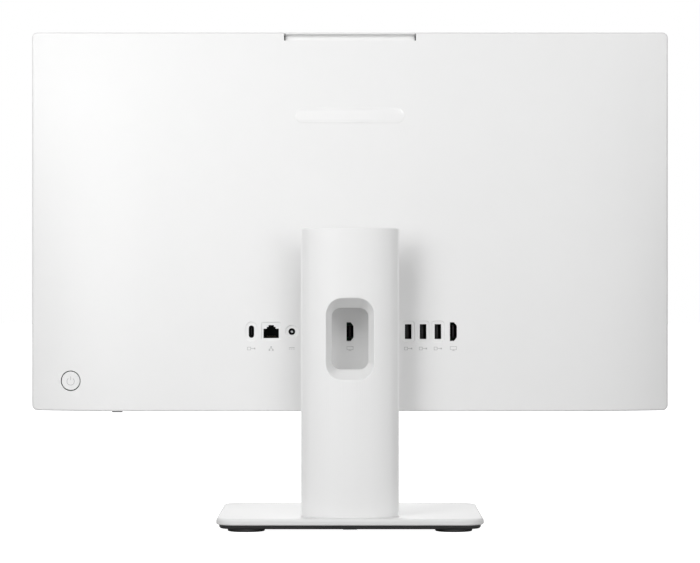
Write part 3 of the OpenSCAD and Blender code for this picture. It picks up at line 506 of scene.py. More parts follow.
def pocket(outline, at):
    """Shallow pocket whose rim and floor edge are both rounded."""
    deep, soft = 0.75, 0.4
    steps = [(soft, -3), (soft, 0.015), (soft * 0.45, 0.06), (soft * 0.12, 0.2), (0, deep - 0.2),
             (-0.06, deep - 0.06), (-0.2, deep)]
    return [on_back(offset(outline, o), d, at) for o, d in steps]


def opening(outline, at, floor=0.6, soft=0.22):
    """Hole through the cover from a pocket's floor, with a softened rim."""
    steps = [(soft, -3), (soft, floor + 0.01), (soft * 0.3, floor + 0.07), (0, floor + soft),
             (0, WALL + 2)]
    return [on_back(offset(outline, o), d, at) for o, d in steps]


def video_outline():
    w, h = 2.9, 7.85
    return [(w, -h), (w, h), (-w + 2.3, h), (-w, h - 3), (-w, -h + 3), (-w + 2.3, -h)]


def net_outline():
    a, b, c = 6.45, 3.75, 2.3
    low = -5.45
    return [(-a, low), (a, low), (a, low + 7.9), (b, low + 7.9), (b, low + 9.5), (c, low + 9.5),
            (c, low + 10.9), (-c, low + 10.9), (-c, low + 9.5), (-b, low + 9.5), (-b, low + 7.9),
            (-a, low + 7.9)]


def bottom_slot(x, y, w, length):
    """Rounded slot through the cover's underside."""
    shape = round_rect(w, length, min(w, length) / 2, 5, (x, y))
    return [plane_z(offset(shape, o), HEAD_Z + z)
            for o, z in ((0.25, -2), (0.25, 0), (0.05, 0.08), (0, 0.3), (0, WALL + 1))]


def button_frame():
    """Centre of the power button on the sloping back, and a step to the right along the slope."""
    at = Vector((BUTTON_X, back_y(BUTTON_X, BUTTON_Z), HEAD_Z + BUTTON_Z))
    return at, Vector((1, -math.tan(math.asin((BUTTON_X - FLAT_HALF) / ARC_H)), 0))


def on_button(points, lift):
    """Points round the button's centre in the plane of its sloping face, lifted outwards."""
    at, right = button_frame()
    return [tuple(at + right * x + Vector((0, lift, z))) for x, z in points]


def rear_cover():
    piece = cover_shell()
    recesses = [pocket(round_rect(10.5, 17.8, 2.5), (x, PORT_Z)) for x in USB_X]
    recesses.append(pocket(round_rect(9.3, 16.3, 4.6), (USB_C_X, PORT_Z)))
    recesses.append(pocket(round_rect(16.4, 14.7, 1.6), (NET_X, PORT_Z + 0.5)))
    recesses.append(pocket(circle(5.3, 40), (DC_X, PORT_Z)))
    recesses.append([on_button(circle(BUTTON_R + o, 64), lift) for o, lift in
                     ((0.3, 3), (0.3, -0.02), (0.08, -0.1), (0, -0.35), (0, -8))])
    for s in (-1, 1):
        slot = round_rect(5, 16, 0.8, 3, (s * ARM_X, HINGE_Z - HEAD_Z))
        recesses.append([on_back(slot, d) for d in (-4, 10)])
    for x0, x1 in VENT_RANGES:
        for i in range(int((x1 - x0) // VENT_PITCH) + 1):
            recesses.append(bottom_slot(x0 + 1.2 + VENT_PITCH * i, 19, 2.4, 8))
    recesses.append(bottom_slot(SOURCE_X, SOURCE_Y, 9.6, 4.6))
    notch = CAMERA_HALF + CAMERA_GAP
    low, high = HEAD_Z + HEAD_H - NOTCH_DEPTH, HEAD_Z + HEAD_H + 3
    recesses.append([[(-notch, y, low), (notch, y, low), (notch, y, high), (-notch, y, high)]
                     for y in (SEAM_Y - 2, BACK_Y)])
    carve(piece, many("cut_a", recesses))
    mouths = [opening(round_rect(*USB_MOUTH), (x, PORT_Z)) for x in USB_X]
    mouths.append(opening(round_rect(4.5, 10.4, 2.24, 8), (USB_C_X, PORT_Z)))
    mouths.append(opening(net_outline(), (NET_X, PORT_Z), soft=0.15))
    mouths.append(opening(circle(DC_BORE_R, 32), (DC_X, PORT_Z)))
    mouths += [opening(video_outline(), (x, PORT_Z), floor=0) for x in VIDEO_X]
    carve(piece, many("cut_b", mouths))
    weigh_normals(piece)
    place(piece, "head", WHITE, "white_matte", "rear_cover")


rear_cover()


# -------------------- head: front frame, screen, badge

def head_rect(inset_side, inset_low, inset_top, r, y):
    """Rounded rectangle loop in the head's outline at depth y."""
    w = 2 * (HALF_W - inset_side)
    h = HEAD_H - inset_low - inset_top
    at = (0, HEAD_Z + inset_low + h / 2)
    return [(x, y, z) for x, z in round_rect(w, h, r, at=at)]


def front_frame():
    edge = [(0.25, SEAM_Y - 0.02), (0.06, SEAM_Y - 0.08), (0, SEAM_Y - 0.28), (0, FRONT_Y + 1.3)]
    r = 1.1
    edge += [(r * (1 - cosd(a)), FRONT_Y + r - r * sind(a)) for a in split(15, 90, 5)]
    loops = [head_rect(d, d, d, CORNER_R - d, y) for d, y in edge]
    for d, y in ((-0.3, FRONT_Y), (-0.08, FRONT_Y + 0.05), (0, FRONT_Y + 0.3), (0, SEAM_Y - 0.02)):
        loops.append(head_rect(LIP + d, CHIN + d, LIP + d, 1.2, y))
    piece = loft("front_frame_ring", ring(loops), (False, False))
    weigh_normals(piece)
    place(piece, "head", WHITE_FRAME, "white_frame", "front_frame")


def cover_glass():
    low, high = box_mm("screen_glass")
    w, h = high.x - low.x, high.z - low.z
    at = (0, (low.z + high.z) / 2)
    loops = [plane_y(round_rect(w - 2 * d, h - 2 * d, 1.1, 5, at), y) for d, y in
             ((0, high.y), (0, low.y + 0.25), (0.08, low.y + 0.08), (0.25, low.y))]
    piece = loft("cover_glass_sheet", loops)
    weigh_normals(piece)
    place(piece, "head", SCREEN, "screen_black", "screen_glass")


def badge():
    low, high = box_mm("badge")
    z = (low.z + high.z) / 2 - HEAD_Z
    w, h = high.x - low.x, high.z - low.z
    loops = []
    for d, lift in ((0, 0.015), (0, 0.2), (0.1, 0.32), (0.3, 0.38), (0.6, 0.4)):
        shape = round_rect(w - 2 * d, h - 2 * d, h / 2 - d, 12)
        loops.append(on_back(shape, -lift, (0, z)))
    piece = loft("blank_badge", loops)
    place(piece, "head", WHITE_GLOSS, "white_gloss", "badge")


front_frame()
cover_glass()
badge()


# -------------------- printed marks under the ports

INK_T = 0.02        # half the thickness of a printed mark
MARK_DROP = 14.2    # how far the marks sit below the ports


def bar(x0, x1, z0, z1):
    return [(x0, z0), (x1, z0), (x1, z1), (x0, z1)]


def printed(outline, at):
    """Thin slab of ink on the back: the outline is drawn as seen from behind."""
    mirrored = [(-x, z) for x, z in reversed(outline)]
    return [on_back(mirrored, d, at) for d in (INK_T, -INK_T)]


def printed_frame(x0, x1, z0, z1, t, at):
    """Closed band of ink round a rectangle."""
    bands = [[(-x, z) for x, z in reversed(bar(x0 + d, x1 - d, z0 + d, z1 - d))] for d in (0, t)]
    corners = ((0, INK_T), (0, -INK_T), (1, -INK_T), (1, INK_T))
    return ring([on_back(bands[k], d, at) for k, d in corners])


def port_marks():
    prongs = [(-0.35, -0.25), (2.2, -0.25), (2.2, -0.7), (3.4, -0.7), (3.4, 0.7), (2.2, 0.7),
              (2.2, 0.25), (-0.35, 0.25)]
    half_tree = [(-0.7, 0.7), (-0.2, 0.7), (-0.2, 0), (-1.6, 0), (-1.6, -0.7), (-2.1, -0.7),
                 (-2.1, -1.9), (-0.7, -1.9), (-0.7, -0.7), (-1.25, -0.7), (-1.25, -0.3)]
    tree = [(-0.7, 1.9)] + half_tree + [(-x, z) for x, z in reversed(half_tree)] + [(0.7, 1.9)]
    stand = [(-0.25, -1.6), (-1.3, -1.6), (-1.3, -1.95), (1.3, -1.95), (1.3, -1.6), (0.25, -1.6),
             (0.25, -1.13), (-0.25, -1.13)]
    solid, hollow = [], []
    for x in USB_X + (USB_C_X,):
        at = (x, PORT_Z - MARK_DROP)
        solid.append(printed(prongs, at))
        hollow.append(printed_frame(-3.4, -0.4, -1.4, 1.4, 0.45, at))
    for x in VIDEO_X:
        at = (x, PORT_Z - MARK_DROP)
        solid.append(printed(stand, at))
        hollow.append(printed_frame(-2.8, 2.8, -1.1, 1.9, 0.4, at))
    solid.append(printed(tree[::-1], (NET_X, PORT_Z - MARK_DROP)))
    dashes = [bar(x, x + 1.2, -0.7, -0.2) for x in (-2.4, -0.6, 1.2)]
    for shape in [bar(-2.4, 2.4, 0.5, 1.0)] + dashes:
        solid.append(printed(shape, (DC_X, PORT_Z - MARK_DROP)))
    bm = bmesh.new()
    for loops in solid:
        add_loft(bm, loops)
    for loops in hollow:
        add_loft(bm, loops, (False, False))
    place(finish_mesh(bm, "port_marks"), "head", INK, "grey_plastic")


port_marks()


# -------------------- power and source buttons

def power_button():
    r = BUTTON_R - 0.75
    loops = [on_button(circle(r, 64), -3.8), on_button(circle(r, 64), -0.75)]
    for inset, rise in fillet(0.55):
        loops.append(on_button(circle(r - inset, 64), -0.65 + rise))
    dish = 0.22
    for share in (0.88, 0.8, 0.6, 0.4, 0.2):
        loops.append(on_button(circle(r * share, 64), -0.1 - dish * (1 - (share / 0.88) ** 2)))
    piece = loft("power_button_cap", loops)
    weigh_normals(piece)
    place(piece, "power_key", WHITE_FRAME, "white_frame", "power_button")

    # the usual on symbol: an open ring and a bar
    ring_r, half, drop = 3.2, 0.26, 0.5
    arc = split(128, 412, 26)
    band = []
    for r, angles in ((ring_r + half, arc), (ring_r - half, reversed(arc))):
        band += [(-cosd(a) * r, sind(a) * r - drop) for a in angles]
    groups = [[on_button(shape, lift) for lift in (-0.33, -0.25)]
              for shape in (band, bar(-half, half, 0.6, 3.7))]
    place(many("power_symbol", groups), "power_key", INK, "grey_plastic")


def source_button():
    steps = [(0.0, 2.2), (0, -0.9), (0.1, -1.2), (0.3, -1.42), (0.55, -1.5)]
    loops = [plane_z(round_rect(9 - 2 * d, 4 - 2 * d, 2 - d, 8, (SOURCE_X, SOURCE_Y)), HEAD_Z + z)
             for d, z in steps]
    piece = loft("source_button_cap", loops)
    weigh_normals(piece)
    place(piece, "source_key", GREY, "grey_plastic", "source_button")


power_button()
source_button()


# -------------------- sockets

SOCKET_Z = HEAD_Z + PORT_Z


def section_tube(outline, x, y0, y1):
    """Sheet-metal sleeve: an outline pulled along Y, with a softened mouth."""
    wall = 0.3
    at = (x, SOCKET_Z)
    steps = [(wall, y0), (wall, y1 - 0.3), (wall * 0.6, y1 - 0.02), (0, y1 - 0.25), (0, y0)]
    return [plane_y(offset(outline, o), y, at) for o, y in steps]


def sleeves(name, tubes, replaced):
    bm = bmesh.new()
    for loops in tubes:
        add_loft(bm, ring(loops), (False, False))
    place(finish_mesh(bm, name), "head", DARK_ZINC, "zinc", replaced)


def box_loops(x, y, z, soft=0.15):
    """Block between ranges with softened edges at both Y ends."""
    w, h = x[1] - x[0], z[1] - z[0]
    at = ((x[0] + x[1]) / 2, (z[0] + z[1]) / 2)
    steps = [(soft, y[0]), (0, y[0] + soft), (0, y[1] - soft), (soft * 0.3, y[1] - soft * 0.3),
             (soft, y[1])]
    return [plane_y(round_rect(w - 2 * d, h - 2 * d, 0.2, 3, at), yy) for d, yy in steps]


def usb_and_video():
    low, high = box_mm("usb_a_shells")
    y0, y1 = low.y, high.y
    z = SOCKET_Z
    usb = round_rect(*USB_MOUTH)
    sleeves("usb_a_sleeves", [section_tube(usb, x, y0 + 3, y1) for x in USB_X], "usb_a_shells")
    sleeves("video_sleeves", [section_tube(video_outline(), x, y0 + 3, y1) for x in VIDEO_X],
            "video_shells")
    floors = [box_loops((x - 2.7, x + 2.7), (y0, y0 + 3), (z - 6.2, z + 6.2)) for x in USB_X]
    floors += [box_loops((x - 2.6, x + 2.6), (y0, y0 + 3), (z - 4.6, z + 4.6)) for x in VIDEO_X]
    place(many("socket_floors", floors), "head", DEEP_BLACK, "black_plastic")

    t0, t1 = y0 + 2.5, y1 - 1.6
    tongues = [box_loops((x - 0.1, x + 1.7), (t0, t1), (z - 5.5, z + 5.5)) for x in USB_X]
    tongues += [box_loops((x - 0.5, x + 0.8), (t0, t1), (z - 5.2, z + 5.2)) for x in VIDEO_X]
    place(many("socket_tongues", tongues), "head", TONGUE, "black_plastic", "port_tongues")
    contacts = []
    for x in USB_X:
        for i in range(4):
            c = z - 3.75 + 2.5 * i
            contacts.append(box_loops((x - 0.18, x - 0.06), (t0, t1 - 1.2), (c - 0.5, c + 0.5),
                                      0.03))
    for x in VIDEO_X:
        for i in range(10):
            c = z - 4.5 + 1.0 * i
            contacts.append(box_loops((x - 0.56, x - 0.46), (t0, t1 - 0.8),
                                      (c - 0.22, c + 0.22), 0.03))
    # the contacts take the darkened gold, which is painted shade
    place(many("socket_contacts", contacts), "head", GOLD_PAINTED_SHADE, "gold")


def usb_c_socket():
    low, high = box_mm("usb_c_port")
    body = round_rect(high.x - low.x, high.z - low.z, 2.5, 8)
    mouth = round_rect(2.8, 8.6, 1.38, 8)
    at = (USB_C_X, SOCKET_Z)
    steps = [(body, low.y), (body, high.y - 0.2), (offset(body, -0.2), high.y),
             (offset(mouth, 0.25), high.y), (mouth, high.y - 0.4), (mouth, low.y + 8)]
    place(loft("usb_c_socket", [plane_y(o, y, at) for o, y in steps]), "head", DARK_ZINC, "zinc",
          "usb_c_port")
    blade = [box_loops((USB_C_X - 0.35, USB_C_X + 0.35), (low.y + 8.05, high.y - 1.2),
                       (SOCKET_Z - 3.3, SOCKET_Z + 3.3))]
    place(many("usb_c_tongue", blade), "head", TONGUE, "black_plastic")


def network_jack():
    low, high = box_mm("ethernet_jack")
    outer = round_rect(high.x - low.x, high.z - low.z, 0.5, 2)
    at = (NET_X, SOCKET_Z)
    jack = loft("network_jack_body", [plane_y(outer, low.y, at), plane_y(outer, high.y, at)])
    hole = loft("cut", [plane_y(offset(net_outline(), o), y, at) for o, y in
                        ((0.25, high.y + 1), (0.25, high.y), (0, high.y - 0.4),
                         (0, high.y - 12.9))])
    carve(jack, hole)
    place(jack, "head", DEEP_BLACK, "black_plastic", "ethernet_jack")


def power_socket():
    low, high = box_mm("dc_jack")
    outer = round_rect(high.x - low.x, high.z - low.z, 0.6, 3)
    at = (DC_X, SOCKET_Z)
    jack = loft("power_socket_body", [plane_y(outer, low.y, at), plane_y(outer, high.y, at)])
    hole = loft("cut", [plane_y(circle(r, 48), y, at) for r, y in
                        ((3.1, high.y + 1), (3.1, high.y), (DC_BORE_R, high.y - 0.3),
                         (DC_BORE_R, high.y - 9.95))])
    carve(jack, hole)
    place(jack, "head", DEEP_BLACK, "black_plastic", "dc_jack")
    low, high = box_mm("dc_pin")
    pin = [(1.25, low.y), (1.25, high.y - 0.5), (1.15, high.y - 0.2), (0.95, high.y - 0.04),
           (0.7, high.y), (0.45, high.y - 0.1), (0.4, high.y - 2.5)]
    place(loft("power_pin", [plane_y(circle(r, 32), y, at) for r, y in pin]), "head", ZINC,
          "zinc", "dc_pin")


usb_and_video()
usb_c_socket()
network_jack()
power_socket()


# -------------------- pop-up camera

LENS_Z = HEAD_Z + HEAD_H - 9
WINDOW_W = 100    # the dark window in the front of the bar


def camera_bar():
    low = box_mm("camera_bar")[0]
    y0 = low.y
    top = HEAD_H
    plate_y = y0 + 3.8
    foot = low.z - HEAD_Z
    face_y = RIM_Y - 4.2
    # section through the bar as (y, z), anticlockwise from the front's lower edge
    section = [(y0 + 0.3, foot), (plate_y, foot), (plate_y, top - 6.5), (face_y - 0.1, top - 6.5),
               (face_y, top - 6.4), (face_y, top - 5.3), (face_y + 0.04, top - 4.7),
               (face_y + 0.17, top - 4.05), (face_y + 0.37, top - 3.5), (face_y + 0.65, top - 3.1),
               (face_y + 1.05, top - 2.75), (face_y + 2.4, top - 2.05), (RIM_Y - 0.4, top - 1.38),
               (RIM_Y - 0.12, top - 1.23), (RIM_Y, top - 0.95), (RIM_Y - 0.1, top - 0.35),
               (RIM_Y - 0.4, top - 0.1), (RIM_Y - 0.75, top), (y0 + 0.5, top),
               (y0 + 0.15, top - 0.15), (y0, top - 0.5), (y0, foot + 0.3)]
    # carry the loop along X, drawn in slightly at both ends
    loops = []
    for x, pull in ((-CAMERA_HALF, 0.25), (-CAMERA_HALF + 0.08, 0.08), (-CAMERA_HALF + 0.25, 0),
                    (CAMERA_HALF - 0.25, 0), (CAMERA_HALF - 0.08, 0.08), (CAMERA_HALF, 0.25)):
        loops.append([(x, y, HEAD_Z + z) for y, z in offset(section, -pull)])
    piece = loft("camera_bar_shell", loops, angle=38)
    window_low, window_high = box_mm("camera_window")
    wz = (window_low.z + window_high.z) / 2
    shape = round_rect(WINDOW_W + 0.3, window_high.z - window_low.z + 0.3, 2.6, 6, (0, wz))
    pocket_cut = [plane_y(shape, y) for y in (y0 - 2, y0 + 0.9)]
    hole = [plane_y(circle(3.1, 40, (0, LENS_Z)), y) for y in (y0 + 0.8, y0 + 1.65)]
    carve(piece, loft("cut", pocket_cut), angle=38)
    carve(piece, loft("cut", hole), angle=38)
    weigh_normals(piece)
    place(piece, "camera_slide", WHITE, "white_matte", "camera_bar")


def camera_window():
    y0 = box_mm("camera_bar")[0].y
    low, high = box_mm("camera_window")
    at = (0, (low.z + high.z) / 2)
    glass = loft("camera_window_glass", [
        plane_y(round_rect(WINDOW_W - 2 * d, high.z - low.z - 2 * d, 2.5 - d, 6, at), y)
        for d, y in ((0, y0 + 0.8), (0, y0 + 0.2), (0.06, y0 + 0.06), (0.2, y0))])
    carve(glass, loft("cut", [plane_y(circle(r, 40, (0, LENS_Z)), y) for r, y in
                              ((3.3, y0 - 1), (3.3, y0), (3.1, y0 + 0.2), (3.1, y0 + 1))]))
    weigh_normals(glass)
    place(glass, "camera_slide", SCREEN, "screen_black", "camera_window")
    steps = [(3.0, 1.6), (3.0, 0.15), (2.85, 0.08), (2.5, 0.1), (2.2, 0.45), (1.9, 0.5),
             (1.4, 0.42), (0.8, 0.34), (0.3, 0.31)]
    lens = loft("camera_lens_glass",
                [plane_y(circle(r, 40, (0, LENS_Z)), y0 + y) for r, y in steps])
    place(lens, "camera_slide", SCREEN, "screen_black", "camera_lens")
    # two microphone holes and a status light beside the lens
    dots = [[plane_y(circle(r, 16, (x, LENS_Z)), y0 + y) for r, y in
             ((0.5, 0.02), (0.5, -0.015), (0.4, -0.02))] for x in (-30, 30, 9)]
    place(many("camera_dots", dots), "camera_slide", GREY, "grey_plastic")


camera_bar()
camera_window()


# -------------------- column

SHELL_LOW, SHELL_HIGH = box_mm("column_rear_shell")
TRAY_LOW, TRAY_HIGH = box_mm("column_front_shell")
COL_HALF = SHELL_HIGH.x
COL_TOP = SHELL_HIGH.z
COL_BASE = SHELL_LOW.z
COL_REAR = SHELL_HIGH.y
TRAY_Y = TRAY_HIGH.y
SAGITTA = COL_REAR - TRAY_Y - 2
COL_R = (COL_HALF ** 2 + SAGITTA ** 2) / (2 * SAGITTA)
COL_CY = COL_REAR - COL_R
LEDGE, BEND = 0.3, 7.0    # step in from the tray, and width of the bend at each side
TRAY_HALF = COL_HALF + 0.8
WINDOW_Z = 159.2
WINDOW_OUT, WINDOW_IN = (39.3, 67.1, 13.5), (30.7, 51.2, 7.5)    # width, height, radius


def shell_outline(inset, front=0.1):
    """Outline of the rear shell as (x, y), anticlockwise: an arc that turns in at its ends."""
    half, r = COL_HALF - LEDGE - inset, COL_R - inset
    turn = math.asin((COL_HALF - BEND) / COL_R)
    angle = math.degrees(turn)
    arc = [(r * sind(a), COL_CY + r * cosd(a)) for a in split(angle, -angle, 44)]
    first = arc[0]
    pull = 0.62 * BEND
    control = (first[0] + pull * math.cos(turn), first[1] - pull * math.sin(turn))
    end = (half, TRAY_Y + 0.4)
    bend = []
    for t in split(0, 1, 8)[1:-1]:
        q = [(1 - t) ** 2, 2 * t * (1 - t), t * t]
        bend.append(tuple(q[0] * e + q[1] * c + q[2] * f for e, c, f in zip(end, control, first)))
    side = [(half, TRAY_Y + front), end]
    left = [(-x, y) for x, y in reversed(side + bend)]
    return side + bend + arc + left


def tray_outline(inset, rear=0):
    r = max(3 - inset, 0.2)
    half, y0, y1 = TRAY_HALF - inset, TRAY_LOW.y + inset, TRAY_Y - rear
    right = [(half - r + r * cosd(a), y0 + r + r * sind(a)) for a in split(-90, 0, 6)]
    left = [(-x, y) for x, y in reversed(right)]
    edge = [(half, y1 - 0.5), (half - 0.25, y1 - 0.18), (half - 0.6, y1)]
    return right + edge + [(-x, y) for x, y in reversed(edge)] + left


def column_solid(name, outline, round_r):
    """An outline pulled up to the column's full height, with a rounded top edge."""
    loops = [plane_z(outline(0), COL_BASE)]
    loops += [plane_z(outline(inset), COL_TOP - round_r + rise) for inset, rise in fillet(round_r)]
    loops.insert(1, plane_z(outline(0), COL_TOP - round_r - 0.6))
    return loft(name, loops)


def rear_surface(x):
    return COL_CY + math.sqrt(COL_R ** 2 - x * x)


def window_outline(size, grow=0.0):
    w, h, r = size
    return round_rect(w + 2 * grow, h + 2 * grow, r + grow, 12)


def funnel(grow=0.0):
    """Window cutter: a softened rim on the curved back, narrowing to the throat."""
    soft = 0.9
    outer, inner = window_outline(WINDOW_OUT, grow), window_outline(WINDOW_IN, grow)
    loops = []
    rim = [(soft, -4), (soft, 0.02)]
    rim += [(soft * (1 - sind(a)), 0.02 + soft * (1 - cosd(a))) for a in (12, 24, 38, 52, 66, 80)]
    for o, depth in rim if grow == 0 else [(0, -4), (0, 1.5)]:
        loop = []
        for x, z in offset(outer, o):
            loop.append((x, rear_surface(min(max(x, -COL_HALF + 1), COL_HALF - 1)) - depth,
                         WINDOW_Z + z))
        loops.append(loop)
    start = loops[-1]
    for t in (0.15, 0.35, 0.55, 0.75, 0.9, 1.0):
        loop = []
        for (sx, sy, sz), (ix, iz) in zip(start, inner):
            loop.append((sx + (ix - sx) * t, sy + (TRAY_Y - 0.5 - sy) * t,
                         sz + (WINDOW_Z + iz - sz) * t))
        loops.append(loop)
    loops.append(plane_y(inner, TRAY_LOW.y - 3, (0, WINDOW_Z)))
    return loops


def column_rear():
    shell = column_solid("column_rear_cover", shell_outline, 1.2)
    cavity = loft("cut", [plane_z(shell_outline(2, -3), z) for z in (COL_BASE - 3, COL_TOP - 2)])
    carve(cavity, loft("cut", funnel(1.6)))
    carve(shell, cavity)
    throat = window_outline(WINDOW_IN)
    tube = ring([plane_y(offset(throat, o), y, (0, WINDOW_Z)) for o, y in
                 ((1.55, TRAY_LOW.y + 2.15), (1.55, TRAY_Y + 2), (-0.5, TRAY_Y + 2),
                  (-0.5, TRAY_LOW.y + 2.15))])
    sleeve = loft("cut", tube, (False, False))
    carve(shell, sleeve, operation="UNION")
    carve(shell, loft("cut", funnel()))
    weigh_normals(shell)
    place(shell, "stand", WHITE, "white_matte", "column_rear_shell")


def column_front():
    tray = column_solid("column_front_cover", tray_outline, 1.0)
    hollow = loft("cut", [plane_z(tray_outline(2, -3), z) for z in (COL_BASE - 3, COL_TOP - 2)])
    carve(tray, hollow)
    throat = window_outline(WINDOW_IN)
    hole = loft("cut", [plane_y(offset(throat, o), TRAY_LOW.y + y, (0, WINDOW_Z)) for o, y in
                        ((0.8, -2), (0.8, 0), (0.25, 0.15), (0, 0.6), (0, 4))])
    carve(tray, hole)
    ears = [[plane_y(round_rect(5, 17, 0.6, 3, (s * 24, HINGE_Z)), TRAY_LOW.y + y) for y in (-2, 4)]
            for s in (-1, 1)]
    carve(tray, many("cut", ears))
    weigh_normals(tray)
    place(tray, "stand", WHITE_FRAME, "white_frame", "column_front_shell")


column_rear()
column_front()


# -------------------- hinge cover

def hinge_cover():
    low, high = box_mm("hinge_cover")
    r = (high.z - low.z) / 2
    half = high.x
    cy, cz = low.y + r, (low.z + high.z) / 2

    def section(inset):
        q = r - inset
        arc = [(cy - q * sind(a), cz + q * cosd(a)) for a in split(0, 180, 32)]
        return arc + [(high.y, cz - q), (high.y, cz + q)]

    loops = []
    edge = [(-half + 0.9 - rise, inset) for inset, rise in reversed(fillet(0.9, 4))]
    for x, inset in edge + [(-x, inset) for x, inset in reversed(edge)]:
        loops.append([(x, y, z) for y, z in section(inset)])
    piece = loft("hinge_barrel", loops)
    wall = 1.7
    q = r - wall
    inner = [(cy - q * sind(a), cz + q * cosd(a)) for a in split(0, 180, 24)]
    inner += [(high.y + 3, cz - q), (high.y + 3, cz + q)]
    hollow = [[(x, y, z) for y, z in inner] for x in (-half + wall, half - wall)]
    carve(piece, loft("cut", hollow))
    arms = [[plane_z(round_rect(6, 20, 0.6, 3, (s * ARM_X, cy - 10)), z)
             for z in (cz - 8.8, cz + 11.4)] for s in (-1, 1)]
    carve(piece, many("cut", arms))
    weigh_normals(piece)
    place(piece, "stand", WHITE, "white_matte", "hinge_cover")


hinge_cover()


# -------------------- base

BASE_LOW, BASE_HIGH = box_mm("base_top_cover")
BASE_W, BASE_D = 2 * BASE_HIGH.x, 2 * BASE_HIGH.y
BASE_R = 18
LOCK_Y = 73
SCREW_AT = ((-95, -20), (95, -20), (-50, -82), (50, -82), (-60, 82), (60, 82))


def base_loop(inset, z):
    """Outline of the base at height z, drawn in by inset."""
    return plane_z(round_rect(BASE_W - 2 * inset, BASE_D - 2 * inset, BASE_R - inset, 14), z)


def base_top():
    z0, z1 = BASE_LOW.z, BASE_HIGH.z
    round_r = 2.4
    steps = [(1.9, z0), (0.9, z0), (0.75, z0 + 0.06), (0.2, z0 + 0.55), (0.05, z0 + 0.8),
             (0, z0 + 1.1), (0, z1 - round_r - 0.4)]
    steps += [(inset, z1 - round_r + rise) for inset, rise in fillet(round_r, 8)]
    steps += [(round_r + 1.5, z1)]
    under = [(1.9, z0), (1.9, z0 + 1.2), (2.4, z1 - 1.8), (6, z1 - 1.8)]
    bm = bmesh.new()
    add_loft(bm, [base_loop(d, z) for d, z in steps], (False, True))
    add_loft(bm, [base_loop(d, z) for d, z in under], (False, True))
    top = finish_mesh(bm, "base_top_shell")
    gap = 0.5
    tray = round_rect(2 * (TRAY_HIGH.x + gap), TRAY_Y - TRAY_LOW.y + 2 * gap, 3, 6,
                      (0, (TRAY_Y + TRAY_LOW.y) / 2))
    for shape in (shell_outline(-gap), tray):
        cut = loft("cut", [plane_z(offset(shape, o), z) for o, z in
                           ((0.3, z1 + 2), (0.3, z1 + 0.01), (0.08, z1 - 0.08), (0, z1 - 0.35),
                            (0, z0 - 2))])
        carve(top, cut)
    weigh_normals(top)
    # the base top takes the darker copy of the white, which is painted shade
    place(top, "stand", WHITE_BASE_SHADED, "white_matte", "base_top_cover")


def base_under():
    low, high = box_mm("base_bottom_cover")
    inset = BASE_HIGH.x - high.x
    q = 2.0
    steps = [(inset, high.z), (inset, low.z + q + 0.3)]
    steps += [(inset + q - q * cosd(a), low.z + q - q * sind(a)) for a in split(0, 90, 7)]
    steps += [(inset + q + 1.5, low.z)]
    rim = [(inset, high.z), (inset + 2, high.z), (inset + 2, low.z + 1.9),
           (inset + 2.3, low.z + 1.5)]
    bm = bmesh.new()
    add_loft(bm, [base_loop(d, z) for d, z in steps], (False, True))
    add_loft(bm, [base_loop(d, z) for d, z in rim], (False, True))
    under = finish_mesh(bm, "base_under_cover")
    posts = [[plane_z(circle(r, 40, at), z) for z in (low.z + 0.6, high.z - 0.005)]
             for r, at in [(16, (0, LOCK_Y))] + [(4.5, p) for p in SCREW_AT]]
    carve(under, many("cut", posts), operation="UNION")
    wells = [[plane_z(circle(r, 48, (0, LOCK_Y)), z) for r, z in
              ((14.9, low.z - 2), (14.9, low.z), (14.6, low.z + 0.12), (14.5, low.z + 0.4),
               (14.5, high.z + 2))]]
    wells += [[plane_z(circle(r, 32, p), z) for r, z in
               ((3, low.z - 2), (3, low.z), (2.8, low.z + 0.2), (2.8, low.z + 1.3),
                (1.5, low.z + 1.3), (1.5, high.z + 2))] for p in SCREW_AT]
    carve(under, many("cut", wells))
    weigh_normals(under)
    place(under, "stand", BLACK, "black_plastic", "base_bottom_cover")


def feet():
    high = box_mm("base_feet")[1]
    r = 15.4
    cx, cy = high.x - r, high.y - r
    steps = [(r, high.z), (r, 0.9), (r - 0.12, 0.45), (r - 0.4, 0.14), (r - 0.9, 0), (r - 3, 0)]
    for groove in (11, 8, 5):
        steps += [(groove + 0.5, 0), (groove + 0.3, 0.25), (groove - 0.3, 0.25), (groove - 0.5, 0)]
    groups = [[plane_z(circle(q, 56, (sx * cx, sy * cy)), z) for q, z in steps]
              for sx in (-1, 1) for sy in (-1, 1)]
    piece = many("rubber_feet", groups)
    weigh_normals(piece)
    place(piece, "stand", RUBBER, "foot_rubber", "base_feet")


base_top()
base_under()
feet()


# -------------------- CAD nodes kept as they are

SOFTENED = {
    "hinge_bracket_head": 0.4, "hinge_bracket_stand": 0.4, "hinge_shaft": 0.3, "hinge_washers": 0.2,
    "hinge_nut": 0.3, "lock_screw": 0.2, "lock_ring": 0.25, "base_screws": 0.2,
    "heatsink_fins": 0.08, "fan_rotor": 0.15, "fan_housing": 0.3, "speaker_left": 0.5,
    "speaker_right": 0.5, "mainboard": 0.1, "column_spine": 0.3, "base_plate": 0.3,
    "chassis_plate": 0.2,
}


def dress_frame():
    """Looks for every CAD node, and softened edges for those with a width in SOFTENED."""
    slots = {part["node"]: part["material_slot"] for part in frame["record"]["subparts"]}
    for name, node in NODES.items():
        look = LOOKS[slots[name]]
        node.data.materials.clear()
        # the network jack's contacts also take the darkened gold: painted shade
        node.data.materials.append(GOLD_PAINTED_SHADE if name == "ethernet_contacts" else look)
        if name in SOFTENED:
            flat = node.modifiers.new("merge", "DECIMATE")
            flat.decimate_type = "DISSOLVE"
            flat.angle_limit = math.radians(0.5)
            soft = node.modifiers.new("soften", "BEVEL")
            soft.width = SOFTENED[name] * MM
            soft.segments = 2
            soft.limit_method = "ANGLE"
            soft.angle_limit = math.radians(40)
            soft.harden_normals = True


dress_frame()


# -------------------- floor, light, camera

